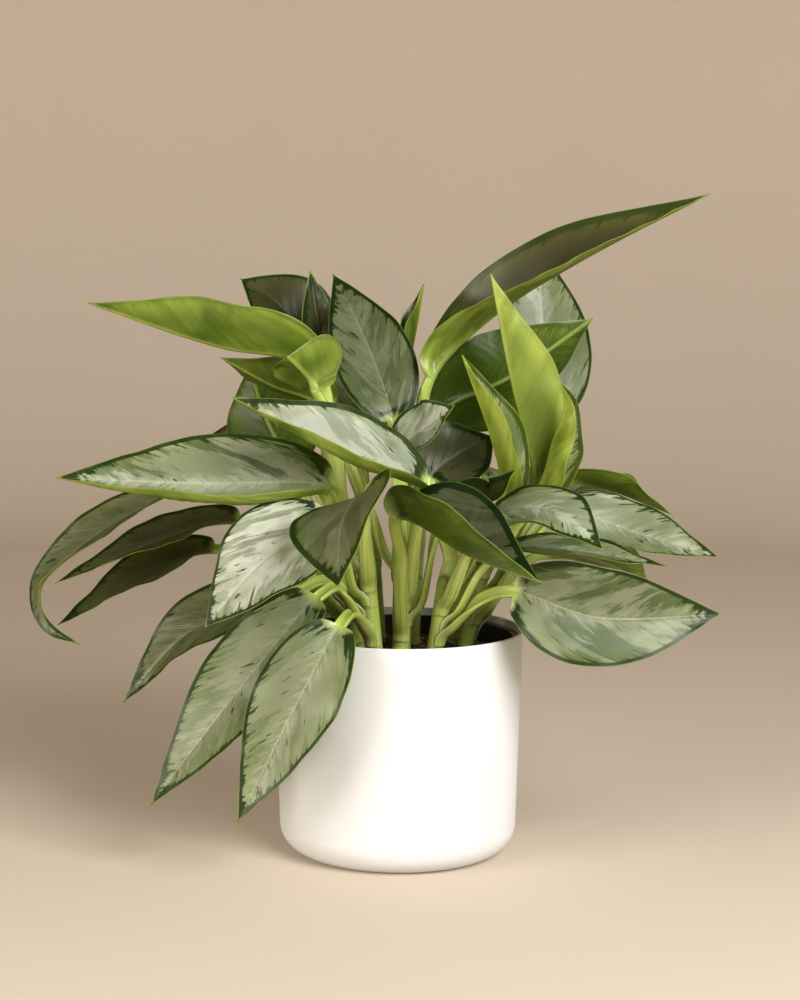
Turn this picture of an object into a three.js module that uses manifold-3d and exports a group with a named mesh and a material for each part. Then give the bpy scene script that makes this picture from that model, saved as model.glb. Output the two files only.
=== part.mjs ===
// A potted chinese evergreen: a white cover pot, the black nursery pot inside it, its soil, eight short
// canes standing in the soil, and the leaves that clasp the canes, each with its stalk in one piece.
// Millimetres, +Z up. The origin is the centre of the cover pot's underside, and +Y points to the back.

import * as THREE from 'three';
import { mergeVertices } from 'three/addons/utils/BufferGeometryUtils.js';
import Module from 'manifold-3d';

// ---- Driving dimensions ----

const COVER_RIM_RADIUS = 124;
const COVER_FOOT_RADIUS = 118.4; // where the straight wall would meet the floor
const COVER_HEIGHT = 227;
const COVER_WALL = 2.6;
const COVER_CORNER = 30; // radius of the round bottom corner
const CORNER_STEPS = 6;
const INNER_CORNER_STEPS = 4;
const RIM_STEPS = 3;

const NURSERY_RIM_HEIGHT = 219.5;
const NURSERY_LIP_RADIUS = 119.6;
const NURSERY_LIP_DEPTH = 9;
const NURSERY_TOP_RADIUS = 115;
const NURSERY_FOOT_RADIUS = 84;
const NURSERY_WALL = 1.5;
const NURSERY_BEVEL = 4; // at the foot
const LIP_TAPER = 0.8; // how much narrower the lip is at its lower edge
const LIP_BEVEL = 1;
const DRAIN_HOLES = 6;
const DRAIN_HOLE_RADIUS = 6;
const DRAIN_HOLE_SIDES = 12;
const DRAIN_CIRCLE_RADIUS = 52;

const SOIL_HEIGHT = 204; // middle of the soil, above the table
const SOIL_EDGE_DROP = 5; // how much lower the soil lies at the wall
const SOIL_LUMP = 1.6; // height of the larger lumps
const SMALL_LUMP = 0.96;
const SOIL_RINGS = [88, 60, 32]; // radii at which the top of the soil is divided
const SOIL_BEVEL = 6; // at the foot
const SOIL_SLACK = 0.5; // clearance that the faceted nursery pot needs beside its round wall

const GAP = 0.3; // between pieces that touch
const POT_SIDES = 40;

const CANE_SIDES = 10;
const CANE_DEPTH = 70; // how far a cane goes into the soil
const CANE_SCAR_LEVEL = 4; // middle of the leaf scar just above the soil, and half its height
const CANE_SCAR_SWELL = 0.7; // how far the leaf scar stands out
const CANE_TIP_BEVEL = [3, 4]; // inwards and downwards
const CANE_TIP_RISE = 1; // the middle of the tip above its edge
const CANE_TIP_DROP = 8; // the cane ends this far below its height, inside the topmost sheath
const CANE_HOLE_RISE = 40; // the hole is cut from this far above the soil

const FIRST_LEAF_LEVEL = 12; // foot of the lowest leaf, above the soil
const SHEATH_HALF_WIDTH = 8.4;
const SHEATH_CLEARANCE = 0.55;
const SHEATH_SPACING = 6; // bare cane between two sheaths
const SHOULDER_OUT = 10; // how the stalk leaves the cane above its sheath
const SHOULDER_UP = 12;
const STALK_HALF_WIDTH = 4.8;
const STALK_THICKNESS = 6.8;
const STALK_EDGE_THICKNESS = 2.4;
const STALK_CURL = 0.7; // how far each half of the stalk's upper side turns up, in radians
const SHEATH_THICKNESS = 2.8;
const SHEATH_EDGE_THICKNESS = 1;
const SHEATH_END = 0.9; // the part of the stalk along which the sheath narrows
const HALFWAY_THICKNESS = 0.8; // of a stalk, halfway to its edge, as a share of its thickness
const BLADE_THICKNESS = 1.0;
const BLADE_EDGE_THICKNESS = 0.8;
const MIDRIB_THICKNESS = 2.4;
const TIP_HALF_WIDTH = 0.6;

// The outline of a blade is proportional to u^BROADENING (1 - u)^TAPERING, with u from base to tip.
const BROADENING = 0.62;
const TAPERING = 1.15;
const TWIST_END = 0.5; // the part of the blade along which it turns from face to tipFace
const OPENING_END = 0.06; // the part of the blade along which the stalk opens out into it
const NARROWING_END = 0.33; // the part along which the least width falls from the stalk's to the tip's
const THICK_RIB_END = 0.3; // the part along which the stalk thins to the midrib
const RIB_FADE = 0.6; // where the midrib starts to sink into the blade
const LOBE_LENGTH = 9; // how far the two round lobes reach back past the end of the stalk
const LOBED_WIDTH = 90; // blades narrower than this have shorter lobes
const LOBE_FADE = 8; // how fast the lobes fade along the blade
const EDGE_RIPPLE = 2.2; // the margins wave up and down by this much
const RIPPLE_TURNS = [13, 12]; // of the left and right margins, in radians from base to tip
const RIPPLE_STARTS = [0, 2];

const ACROSS = [-1, -0.5, 0, 0.5, 1]; // places across a section, from the left margin to the right one
const ALONG_BLADE = [0, 0.03, 0.11, 0.22, 0.36, 0.52, 0.68, 0.83, 0.94, 1];
const ALONG_BENT_BLADE = [0, 0.03, 0.11, 0.22, 0.34, 0.45, 0.55, 0.64, 0.72, 0.8, 0.88, 0.95, 1];
const ALONG_STALK = [0.14, 0.38, 0.68];
const STEPS_PER_KNOT = 24; // along the line of stalk and midrib
const KNOTS_BEFORE_BLADE = 4;
const STRAIGHT = 1e-4; // a curl smaller than this counts as none, in radians

// ---- Colours ----

const WHITE_PLASTIC = { color: 0xe9e4dc, roughness: 0.55, metalness: 0 };
const BLACK_PLASTIC = { color: 0x1d1c1b, roughness: 0.5, metalness: 0 };
const PEAT = { color: 0x3d2a20, roughness: 0.95, metalness: 0 };
const CANE_GREEN = { color: 0x8a9a4e, roughness: 0.5, metalness: 0 };
const LEAF_GREEN = { color: 0x7f9468, roughness: 0.4, metalness: 0 };

// ---- Canes and their leaves ----
// foot is where a cane leaves the soil, lean is how far it leans for each millimetre it rises.
// Leaves are listed from the lowest up. A blade's points lie on its midrib: its base, one or more
// places along it, and its tip. face is the way its upper side faces at the base, and tipFace at the
// tip. width is the full width across the flattened blade. Looking from base to tip at the upper side,
// fold and curl are [left, right]: fold is the angle at which that half rises from the midrib, and
// curl how much further it turns on its way to the margin. rise lifts the middle of the stalk, and
// side is the way from the cane to the foot of the stalk, where that isn't straight towards the blade.

const CANES = [
  {
    foot: [-24, -38],
    lean: [-0.1, -0.12],
    radius: 8.5,
    height: 96,
    leaves: [
      {
        blade: [[-57, -124, 250], [-102, -150, 168], [-151, -160, 66]],
        face: [-0.2, -0.9, 0.4], width: 88, fold: [0.18, 0.18], curl: [0.1, 0.1], rise: 20,
      },
      {
        blade: [[-79, -92, 272], [-162, -114, 173], [-238, -115, 70]],
        face: [-0.35, -0.8, 0.5], width: 92, fold: [0.12, 0.2], curl: [0.1, 0.1], rise: 26,
      },
      {
        blade: [[-104, -46, 268], [-206, -46, 228], [-273, -40, 155]],
        face: [-0.2, -0.62, 0.76], width: 78, fold: [0.25, 0.2], curl: [0.2, 0.1], rise: 22,
      },
      {
        blade: [[-68, -116, 350], [-131, -148, 310], [-182, -158, 252]],
        face: [-0.35, -0.82, 0.45], width: 112, fold: [0.3, 0], curl: [0, 0], rise: 20,
        side: [-1, -0.7],
      },
      {
        blade: [[-36, -138, 377], [-54, -192, 357], [-56, -238, 304]],
        face: [-0.62, -0.5, 0.6], width: 114, fold: [0.1, 0.15], curl: [0.2, 0.1], rise: 22,
        side: [0.1, -1],
      },
      {
        blade: [[-66, -70, 375], [-192, -86, 380], [-328, -108, 386]],
        face: [0, -0.64, 0.77], width: 110, fold: [-0.6, 0.2], curl: [2.3, 0.1], rise: 18,
        side: [-1, 0.1],
      },
    ],
  },
  {
    foot: [2, -12],
    lean: [0.02, -0.06],
    radius: 9,
    height: 104,
    leaves: [
      {
        blade: [[-2, -126, 357], [58, -175, 327], [127, -216, 307]],
        face: [0.1, -0.42, 0.9], width: 122, fold: [0.55, 1.15], curl: [0.1, 0.1], rise: 20,
        side: [-0.1, -1],
      },
      {
        blade: [[53, -62, 372], [82, -88, 366], [109, -112, 399]],
        face: [0.1, -0.6, 0.8], width: 46, fold: [0.3, 0.3], curl: [0.2, 0.2], rise: 18,
        side: [1, -0.35],
      },
      {
        blade: [[22, -94, 380], [-62, -124, 424], [-158, -146, 467]],
        face: [0.1, -0.6, 0.8], width: 94, fold: [-0.4, 0.15], curl: [2.1, 0.1], rise: 14,
        side: [0.35, -1],
      },
      {
        blade: [[0, -40, 410], [27, -58, 436], [50, -74, 456]],
        face: [0.1, -0.62, 0.72], width: 66, fold: [0.2, 0.1], curl: [0.1, 0.1], rise: 6,
        side: [-0.3, -1],
      },
      {
        blade: [[-82, -66, 470], [-97, -79, 490], [-110, -91, 502]],
        face: [0.05, -0.05, 1], width: 96, fold: [1.55, -0.1], curl: [0, -0.1], rise: 14,
        side: [-1, 0.3],
      },
      {
        blade: [[-8, -8, 434], [-35, 30, 508], [-72, 90, 577]],
        face: [0, -0.9, 0.4], width: 82, fold: [0.16, 0.2], curl: [0.05, -0.25], rise: 6,
        side: [0.2, 1],
      },
    ],
  },
  {
    foot: [-42, 14],
    lean: [-0.16, 0.05],
    radius: 8.5,
    height: 92,
    leaves: [
      {
        blade: [[-190, 66, 296], [-266, 60, 267], [-351, 52, 216]],
        face: [0, -0.35, 0.93], width: 70, fold: [0.2, 0.2], curl: [0.15, 0.15], rise: 22,
        side: [-1, 0.7],
      },
      {
        blade: [[-160, 20, 332], [-256, 12, 305], [-346, 5, 267]],
        face: [0, -0.3, 0.95], width: 66, fold: [0.2, 0.25], curl: [0.2, 0.15], rise: 22,
        side: [-1, -0.4],
      },
      {
        blade: [
          [-200, 66, 366], [-270, 58, 335], [-329, 50, 296], [-367, 42, 256], [-358, 32, 220],
          [-324, 22, 201],
        ],
        face: [0, -0.25, 0.97], tipFace: [-0.8, -0.45, 0.2], width: 58, fold: [0.3, 0.3],
        curl: [0.3, 0.3], rise: 34, bent: true,
      },
      {
        blade: [[-114, 52, 384], [-140, 60, 436], [-156, 76, 484]],
        face: [0.1, 0.95, 0.3], width: 112, fold: [0.12, 0.12], curl: [0.1, 0.2], rise: 8,
        side: [-0.6, 1],
      },
      {
        blade: [[-74, 20, 443], [-130, 12, 468], [-180, 4, 495]],
        face: [0.1, 0.6, 0.8], width: 76, fold: [0.3, 0.3], curl: [0.2, 0.2], rise: 8,
        side: [0.8, 0.6],
      },
      {
        blade: [[-84, -22, 488], [-176, -26, 507], [-307, -34, 549]],
        face: [0, 0.1, 1], width: 100, fold: [0.95, 0.4], curl: [0.3, 0.1], rise: 6,
        side: [-0.5, -1],
      },
    ],
  },
  {
    foot: [34, -34],
    lean: [0.14, -0.08],
    radius: 8,
    height: 90,
    leaves: [
      {
        blade: [[109, -92, 279], [187, -104, 257], [312, -82, 257]],
        face: [-0.05, -0.9, 0.4], width: 102, fold: [0.5, 0.05], curl: [0.1, 0.05], rise: 16,
      },
      {
        blade: [[103, -64, 317], [185, -88, 317], [256, -102, 306]],
        face: [0, -0.2, 0.98], width: 62, fold: [0.1, 0.1], curl: [0.1, 0.1], rise: 16,
      },
      {
        blade: [[83, -98, 352], [140, -146, 365], [186, -192, 334]],
        face: [0.1, -0.52, 0.85], width: 76, fold: [0.1, 0], curl: [0.1, 0.05], rise: 12,
        side: [0.4, -1],
      },
      {
        blade: [[100, -50, 359], [88, -66, 421], [57, -78, 505]],
        face: [0.8, -0.4, 0.3], width: 66, fold: [1.0, 1.0], curl: [0.1, 0.1], rise: 6,
        side: [1, 0.1],
      },
      {
        blade: [[29, -20, 378], [60, -4, 404], [92, 20, 418]],
        face: [0.1, -0.7, 0.7], width: 84, fold: [0.2, 0.2], curl: [0.1, 0.1], rise: 4,
        side: [0.2, 1],
      },
    ],
  },
  {
    foot: [66, 2],
    lean: [0.2, 0.0],
    radius: 8,
    height: 106,
    leaves: [
      {
        blade: [[145, 4, 306], [202, 34, 292], [256, 80, 262]],
        face: [0.1, 0.4, 0.9], width: 84, fold: [0.2, 0.2], curl: [0.2, 0.2], rise: 16,
        side: [0.8, 1],
      },
      {
        blade: [[157, -12, 345], [236, -26, 327], [312, -48, 308]],
        face: [0, -0.6, 0.8], width: 74, fold: [0.2, 0], curl: [0.05, 0.5], rise: 16,
        side: [1, -0.8],
      },
      {
        blade: [[158, 24, 372], [212, 36, 364], [275, 40, 339]],
        face: [0, 0.05, 1], width: 74, fold: [0.3, 0.3], curl: [0.1, 0.4], rise: 14,
        side: [1, 0.5],
      },
      {
        blade: [[148, 84, 338], [212, 134, 354], [266, 184, 332]],
        face: [0.1, 0.25, 0.95], width: 84, fold: [0.25, 0.25], curl: [0.15, 0.15], rise: 10,
        side: [-0.2, 1],
      },
      {
        blade: [[133, -34, 366], [108, -50, 470], [84, -60, 582]],
        face: [0.9, 0.2, 0.35], width: 100, fold: [1.35, 0.8], curl: [0.1, 0.1], rise: 4,
        side: [0.5, -1],
      },
      {
        blade: [[131, -62, 364], [146, -70, 420], [157, -76, 456], [151, -82, 481]],
        face: [0.8, -0.4, 0.3], width: 62, fold: [1.0, 1.0], curl: [0.1, 0.1], rise: 6,
        side: [-0.3, -1],
      },
    ],
  },
  {
    foot: [12, 34],
    lean: [0.04, 0.08],
    radius: 8.5,
    height: 96,
    leaves: [
      {
        blade: [[20, 116, 382], [26, 200, 404], [30, 290, 352]],
        face: [0, 0.2, 0.95], width: 100, fold: [0.2, 0.2], curl: [0.15, 0.15], rise: 12,
      },
      {
        blade: [[6, 56, 480], [14, 62, 530], [21, 70, 568]],
        face: [-0.8, -0.5, 0.1], width: 34, fold: [0.9, 0.9], curl: [0.5, 0.5], rise: 2,
      },
      {
        blade: [[26, 10, 476], [92, 16, 540], [184, 0, 600], [298, -20, 661]],
        face: [0, 0.25, 1], tipFace: [0, -0.62, 0.8], width: 90, fold: [0.8, 0.8],
        curl: [0.1, 0.1], rise: 4,
      },
    ],
  },
  {
    foot: [56, 46],
    lean: [0.12, 0.12],
    radius: 8,
    height: 88,
    leaves: [
      {
        blade: [[150, 90, 290], [220, 140, 262], [270, 180, 200]],
        face: [0.2, 0.3, 0.9], width: 92, fold: [0.2, 0.2], curl: [0.15, 0.15], rise: 20,
      },
      {
        blade: [[96, 134, 362], [134, 214, 354], [160, 284, 300]],
        face: [0.1, 0.3, 0.92], width: 92, fold: [0.2, 0.2], curl: [0.15, 0.15], rise: 18,
        side: [1, 1],
      },
      {
        blade: [[62, 120, 436], [74, 200, 484], [64, 284, 484]],
        face: [0, -0.1, 0.97], width: 98, fold: [0.25, 0.25], curl: [0.15, 0.15], rise: 8,
        side: [-0.3, 1],
      },
      {
        blade: [[142, 104, 424], [147, 122, 512], [139, 150, 612]],
        face: [0.05, -0.9, 0.4], width: 100, fold: [0.15, 0.15], curl: [0.1, 0.1], rise: 6,
      },
      {
        blade: [[32, 44, 433], [110, 58, 476], [193, 68, 535]],
        face: [-0.1, 0.9, 0.4], width: 110, fold: [0.15, 0.15], curl: [0.1, 0.1], rise: 4,
      },
    ],
  },
  {
    foot: [-22, 54],
    lean: [-0.08, 0.1],
    radius: 8.5,
    height: 90,
    leaves: [
      {
        blade: [[-80, 120, 292], [-130, 190, 262], [-165, 256, 190]],
        face: [-0.1, 0.4, 0.9], width: 96, fold: [0.2, 0.2], curl: [0.15, 0.15], rise: 20,
      },
      {
        blade: [[-104, 106, 380], [-158, 124, 414], [-206, 136, 402]],
        face: [0, -0.25, 0.97], width: 82, fold: [0.2, 0.2], curl: [0.15, 0.15], rise: 12,
      },
      {
        blade: [[-44, 112, 420], [-72, 176, 466], [-112, 252, 478]],
        face: [0, 0.2, 0.97], width: 104, fold: [0.25, 0.25], curl: [0.15, 0.15], rise: 12,
        side: [-0.4, 1],
      },
      {
        blade: [[-92, 104, 498], [-130, 112, 546], [-169, 126, 570]],
        face: [0.1, -0.75, 0.65], width: 92, fold: [0.2, 0.25], curl: [0.1, 0.1], rise: 8,
        side: [-1, -0.5],
      },
      {
        blade: [[-80, 72, 478], [-87, 75, 530], [-95, 78, 580]],
        face: [0.15, -0.95, 0.1], width: 46, fold: [0.5, 0.6], curl: [0.1, 0.1], rise: 6,
        side: [0.4, 1],
      },
    ],
  },
];

// ---- Small helpers ----

const wasm = await Module();
wasm.setup();

function vector(values) {
  return new THREE.Vector3(...values);
}

function blend(a, b, share) {
  return a + (b - a) * share;
}

/** A share that eases from 0 to 1 and stays inside that range. */
function ease(share) {
  const t = Math.min(Math.max(share, 0), 1);
  return t * t * (3 - 2 * t);
}

function positionsOnly(geometry) {
  const bare = geometry.clone();
  bare.deleteAttribute('normal');
  bare.deleteAttribute('uv');
  return mergeVertices(bare, 1e-4);
}

function toManifold(geometry) {
  const merged = positionsOnly(geometry);
  const triangles = [];
  const index = merged.index.array;
  for (let i = 0; i < index.length; i += 3) {
    const [a, b, c] = [index[i], index[i + 1], index[i + 2]];
    if (a !== b && b !== c && c !== a) triangles.push(a, b, c);
  }
  return new wasm.Manifold(new wasm.Mesh({
    numProp: 3,
    vertProperties: new Float32Array(merged.getAttribute('position').array),
    triVerts: new Uint32Array(triangles),
  }));
}

function fromManifold(solid) {
  const mesh = solid.getMesh();
  const geometry = new THREE.BufferGeometry();
  geometry.setAttribute('position', new THREE.BufferAttribute(mesh.vertProperties, 3));
  geometry.setIndex(new THREE.BufferAttribute(mesh.triVerts, 1));
  return geometry;
}

function cut(geometry, tools) {
  let solid = toManifold(geometry);
  for (const tool of tools) solid = solid.subtract(toManifold(tool));
  return fromManifold(solid);
}

function piece(name, geometry, finish) {
  const mesh = new THREE.Mesh(geometry, new THREE.MeshStandardMaterial(finish));
  mesh.name = name;
  return mesh;
}

/** Points on a round corner, from one angle to another, about a centre in the profile's plane. */
function arc(x, y, radius, from, to, steps) {
  const points = [];
  for (let i = 0; i <= steps; i += 1) {
    const angle = blend(from, to, i / steps);
    points.push(new THREE.Vector2(x + radius * Math.cos(angle), y + radius * Math.sin(angle)));
  }
  return points;
}

/** A solid of revolution about +Z from a profile of (radius, height) points. */
function turned(profile, sides) {
  return new THREE.LatheGeometry(profile, sides).rotateX(Math.PI / 2);
}

// ---- Pots and soil ----

function coverRadius(height) {
  return blend(COVER_FOOT_RADIUS, COVER_RIM_RADIUS, height / COVER_HEIGHT);
}

function coverPot() {
  const lip = COVER_WALL / 2;
  const cornerX = coverRadius(COVER_CORNER) - COVER_CORNER;
  const innerCorner = COVER_CORNER - COVER_WALL;
  const profile = [
    new THREE.Vector2(0, 0),
    ...arc(cornerX, COVER_CORNER, COVER_CORNER, -Math.PI / 2, 0, CORNER_STEPS),
    ...arc(COVER_RIM_RADIUS - lip, COVER_HEIGHT - lip, lip, 0, Math.PI, RIM_STEPS),
    ...arc(cornerX, COVER_CORNER, innerCorner, 0, -Math.PI / 2, INNER_CORNER_STEPS),
    new THREE.Vector2(0, COVER_WALL),
  ];
  return piece('cover_pot', turned(profile, POT_SIDES), WHITE_PLASTIC);
}

function nurseryRadius(height) {
  return blend(NURSERY_FOOT_RADIUS, NURSERY_TOP_RADIUS, height / NURSERY_RIM_HEIGHT);
}

function drainHoles(bottom) {
  const holes = [];
  for (let i = 0; i < DRAIN_HOLES; i += 1) {
    const angle = (i * 2 * Math.PI) / DRAIN_HOLES;
    const hole = new THREE.CylinderGeometry(
      DRAIN_HOLE_RADIUS, DRAIN_HOLE_RADIUS, 6 * NURSERY_WALL, DRAIN_HOLE_SIDES,
    );
    hole.rotateX(Math.PI / 2);
    hole.translate(
      DRAIN_CIRCLE_RADIUS * Math.cos(angle), DRAIN_CIRCLE_RADIUS * Math.sin(angle), bottom,
    );
    holes.push(hole);
  }
  return holes;
}

function nurseryPot() {
  const bottom = COVER_WALL + GAP;
  const floor = bottom + NURSERY_WALL;
  const lipFoot = NURSERY_RIM_HEIGHT - NURSERY_LIP_DEPTH;
  const footRadius = nurseryRadius(bottom) - NURSERY_BEVEL;
  const wallFoot = bottom + NURSERY_BEVEL;
  const profile = [
    [0, bottom],
    [footRadius, bottom],
    [nurseryRadius(wallFoot), wallFoot],
    [nurseryRadius(lipFoot), lipFoot],
    [NURSERY_LIP_RADIUS - LIP_TAPER, lipFoot],
    [NURSERY_LIP_RADIUS, NURSERY_RIM_HEIGHT - LIP_BEVEL],
    [NURSERY_LIP_RADIUS - LIP_BEVEL, NURSERY_RIM_HEIGHT],
    [NURSERY_TOP_RADIUS - NURSERY_WALL, NURSERY_RIM_HEIGHT - NURSERY_WALL],
    [nurseryRadius(wallFoot) - NURSERY_WALL, wallFoot + NURSERY_WALL],
    [footRadius - NURSERY_WALL, floor],
    [0, floor],
  ].map(([x, y]) => new THREE.Vector2(x, y));
  const pot = turned(profile, POT_SIDES);
  return piece('nursery_pot', cut(pot, drainHoles(bottom)), BLACK_PLASTIC);
}

/** Height of the soil's crumbly surface: highest in the middle, lower at the wall. */
function soilHeight(x, y) {
  const out = Math.hypot(x, y) / NURSERY_TOP_RADIUS;
  const large = SOIL_LUMP * Math.sin(x * 0.21 + 1) * Math.sin(y * 0.19);
  const small = SMALL_LUMP * Math.sin(x * 0.37 - y * 0.31);
  return SOIL_HEIGHT - SOIL_EDGE_DROP * out * out + large + small;
}

function caneHole(cane) {
  const length = CANE_DEPTH + GAP + CANE_HOLE_RISE;
  const radius = cane.radius + CANE_SCAR_SWELL + GAP;
  const hole = new THREE.CylinderGeometry(radius, radius, length, CANE_SIDES + 2);
  hole.rotateX(Math.PI / 2);
  hole.translate(0, 0, length / 2 - CANE_DEPTH - GAP);
  return place(hole, cane);
}

function soil() {
  const bottom = COVER_WALL + GAP + NURSERY_WALL + GAP;
  const inside = (height) => nurseryRadius(height) - NURSERY_WALL - 2 * GAP;
  const edge = SOIL_HEIGHT - SOIL_EDGE_DROP;
  const wallFoot = bottom + SOIL_BEVEL;
  const profile = [
    [0, bottom],
    [inside(bottom) - SOIL_BEVEL, bottom],
    [inside(wallFoot) - SOIL_SLACK, wallFoot],
    [inside(edge) - SOIL_SLACK, edge],
    ...SOIL_RINGS.map((radius) => [radius, SOIL_HEIGHT]),
    [0, SOIL_HEIGHT],
  ].map(([x, y]) => new THREE.Vector2(x, y));
  const block = turned(profile, POT_SIDES);
  const position = block.getAttribute('position');
  for (let i = 0; i < position.count; i += 1) {
    if (position.getZ(i) > edge - 1) {
      position.setZ(i, soilHeight(position.getX(i), position.getY(i)));
    }
  }
  return piece('soil', cut(block, CANES.map(caneHole)), PEAT);
}

// ---- Canes ----

function caneAxis(cane) {
  return vector([...cane.lean, 1]).normalize();
}

/** Stands a solid that was made about +Z, with the soil at height 0, where the cane grows. */
function place(geometry, cane) {
  const turn = new THREE.Quaternion().setFromUnitVectors(new THREE.Vector3(0, 0, 1), caneAxis(cane));
  geometry.applyQuaternion(turn);
  return geometry.translate(cane.foot[0], cane.foot[1], SOIL_HEIGHT);
}

function caneSolid(cane, number) {
  const { radius } = cane;
  const top = cane.height - CANE_TIP_DROP;
  const [bevelIn, bevelDown] = CANE_TIP_BEVEL;
  const profile = [
    [0, -CANE_DEPTH],
    [radius, -CANE_DEPTH],
    [radius, 0],
    [radius + CANE_SCAR_SWELL, CANE_SCAR_LEVEL],
    [radius, 2 * CANE_SCAR_LEVEL],
    [radius, top - bevelDown],
    [radius - bevelIn, top],
    [0, top + CANE_TIP_RISE],
  ].map(([x, y]) => new THREE.Vector2(x, y));
  return piece(`cane_${number}`, place(turned(profile, CANE_SIDES), cane), CANE_GREEN);
}

// ---- Leaves ----

/** The foot of a leaf on its cane: two points, one above the other, and the way out from the cane. */
function footing(cane, level, leaf) {
  const axis = caneAxis(cane);
  const centre = vector([...cane.foot, SOIL_HEIGHT]).addScaledVector(axis, level);
  const out = leaf.side ? vector([...leaf.side, 0]) : vector(leaf.blade[0]).sub(centre);
  out.addScaledVector(axis, -out.dot(axis)).normalize();
  const foot = centre.clone().addScaledVector(out, cane.radius + SHEATH_CLEARANCE);
  return { foot, out, axis };
}

/** The smooth line of stalk and midrib, as points at even lengths, and where the blade begins on it. */
function centreLine(leaf, cane, level, clasp) {
  const blade = leaf.blade.map(vector);
  const { foot, out, axis } = footing(cane, level, leaf);
  const top = foot.clone().addScaledVector(axis, clasp);
  const shoulder = top.clone().addScaledVector(out, SHOULDER_OUT).addScaledVector(axis, SHOULDER_UP);
  const middle = top.clone().lerp(blade[0], 0.5).addScaledVector(axis, leaf.rise);
  const curve = new THREE.CatmullRomCurve3([foot, top, shoulder, middle, ...blade], false, 'centripetal');
  const spans = KNOTS_BEFORE_BLADE + blade.length - 1;
  const points = curve.getPoints(spans * STEPS_PER_KNOT);
  const lengths = [0];
  for (let i = 1; i < points.length; i += 1) {
    lengths.push(lengths[i - 1] + points[i].distanceTo(points[i - 1]));
  }
  const baseAt = lengths[KNOTS_BEFORE_BLADE * STEPS_PER_KNOT];
  return { points, lengths, baseAt, total: lengths[lengths.length - 1], out, clasp };
}

function onLine(line, length) {
  const { points, lengths } = line;
  let i = 1;
  while (i < points.length - 1 && lengths[i] < length) i += 1;
  const share = (length - lengths[i - 1]) / (lengths[i] - lengths[i - 1]);
  const point = points[i - 1].clone().lerp(points[i], share);
  const before = points[Math.max(i - 2, 0)];
  const after = points[Math.min(i + 1, points.length - 1)];
  return { point, along: after.clone().sub(before).normalize() };
}

function outline(u) {
  const widest = BROADENING / (BROADENING + TAPERING);
  return (u / widest) ** BROADENING * ((1 - u) / (1 - widest)) ** TAPERING;
}

/** The five points on the upper side of a section and the five below them, as one ring. */
function sectionRing(station) {
  const { point, along, face, half, fold, curl, thickness, sweep, wave } = station;
  const up = face.clone().addScaledVector(along, -face.dot(along)).normalize();
  const right = along.clone().cross(up);
  const upper = [];
  const lower = [];
  for (const across of ACROSS) {
    const side = across < 0 ? 0 : 1;
    const way = across < 0 ? -1 : 1;
    const share = Math.abs(across);
    const start = fold[side];
    const turn = Math.abs(curl[side]) < STRAIGHT ? STRAIGHT : curl[side];
    const end = start + turn * share;
    const reach = (half / turn) * (Math.sin(end) - Math.sin(start));
    const lift = (half / turn) * (Math.cos(start) - Math.cos(end)) + wave[side] * share * share;
    const above = point.clone().addScaledVector(right, way * reach).addScaledVector(up, lift);
    above.addScaledVector(along, -sweep * share * share);
    const tilt = share === 0 ? 0 : end;
    const normal = up.clone().multiplyScalar(Math.cos(tilt)).addScaledVector(right, -way * Math.sin(tilt));
    const thick = thickness[share === 0 ? 0 : share === 1 ? 2 : 1];
    upper.push(above);
    lower.unshift(above.clone().addScaledVector(normal, -thick));
  }
  return [...upper, ...lower];
}

function stalkStation(line, leaf, length, share) {
  const { point, along } = onLine(line, length);
  const toBlade = ease(share);
  const clasping = 1 - ease(share / SHEATH_END);
  const half = blend(STALK_HALF_WIDTH, SHEATH_HALF_WIDTH, clasping);
  const round = half / (leaf.caneRadius + SHEATH_CLEARANCE);
  const curl = blend(STALK_CURL, round, clasping);
  const face = line.out.clone().negate().lerp(vector(leaf.face).normalize(), toBlade);
  const middle = blend(STALK_THICKNESS, SHEATH_THICKNESS, clasping);
  return {
    point, along, face, half,
    fold: [0, 0],
    curl: [curl, curl],
    thickness: [
      middle,
      middle * HALFWAY_THICKNESS,
      blend(STALK_EDGE_THICKNESS, SHEATH_EDGE_THICKNESS, clasping),
    ],
    sweep: 0,
    wave: [0, 0],
  };
}

function bladeStation(line, leaf, u) {
  const { point, along } = onLine(line, blend(line.baseAt, line.total, u));
  const tipFace = vector(leaf.tipFace ?? leaf.face).normalize();
  const face = vector(leaf.face).normalize().lerp(tipFace, ease(u / TWIST_END));
  const least = blend(STALK_HALF_WIDTH, TIP_HALF_WIDTH, ease(u / NARROWING_END));
  const half = Math.max((leaf.width / 2) * outline(u), least);
  const opened = ease(u / OPENING_END);
  const rib = blend(STALK_THICKNESS, MIDRIB_THICKNESS, ease(u / THICK_RIB_END));
  const ripple = EDGE_RIPPLE * Math.sin(Math.PI * u);
  return {
    point, along, face, half,
    fold: leaf.fold.map((angle) => angle * opened),
    curl: leaf.curl.map((angle) => blend(STALK_CURL, angle, opened)),
    thickness: [
      blend(rib, BLADE_THICKNESS, ease((u - RIB_FADE) / (1 - RIB_FADE))),
      blend(STALK_THICKNESS * HALFWAY_THICKNESS, BLADE_THICKNESS, opened),
      blend(STALK_EDGE_THICKNESS, BLADE_EDGE_THICKNESS, opened),
    ],
    sweep: LOBE_LENGTH * Math.min(leaf.width / LOBED_WIDTH, 1) * (1 - u) ** LOBE_FADE * opened,
    wave: RIPPLE_TURNS.map((turns, side) => ripple * Math.sin(u * turns + RIPPLE_STARTS[side])),
  };
}

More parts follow.
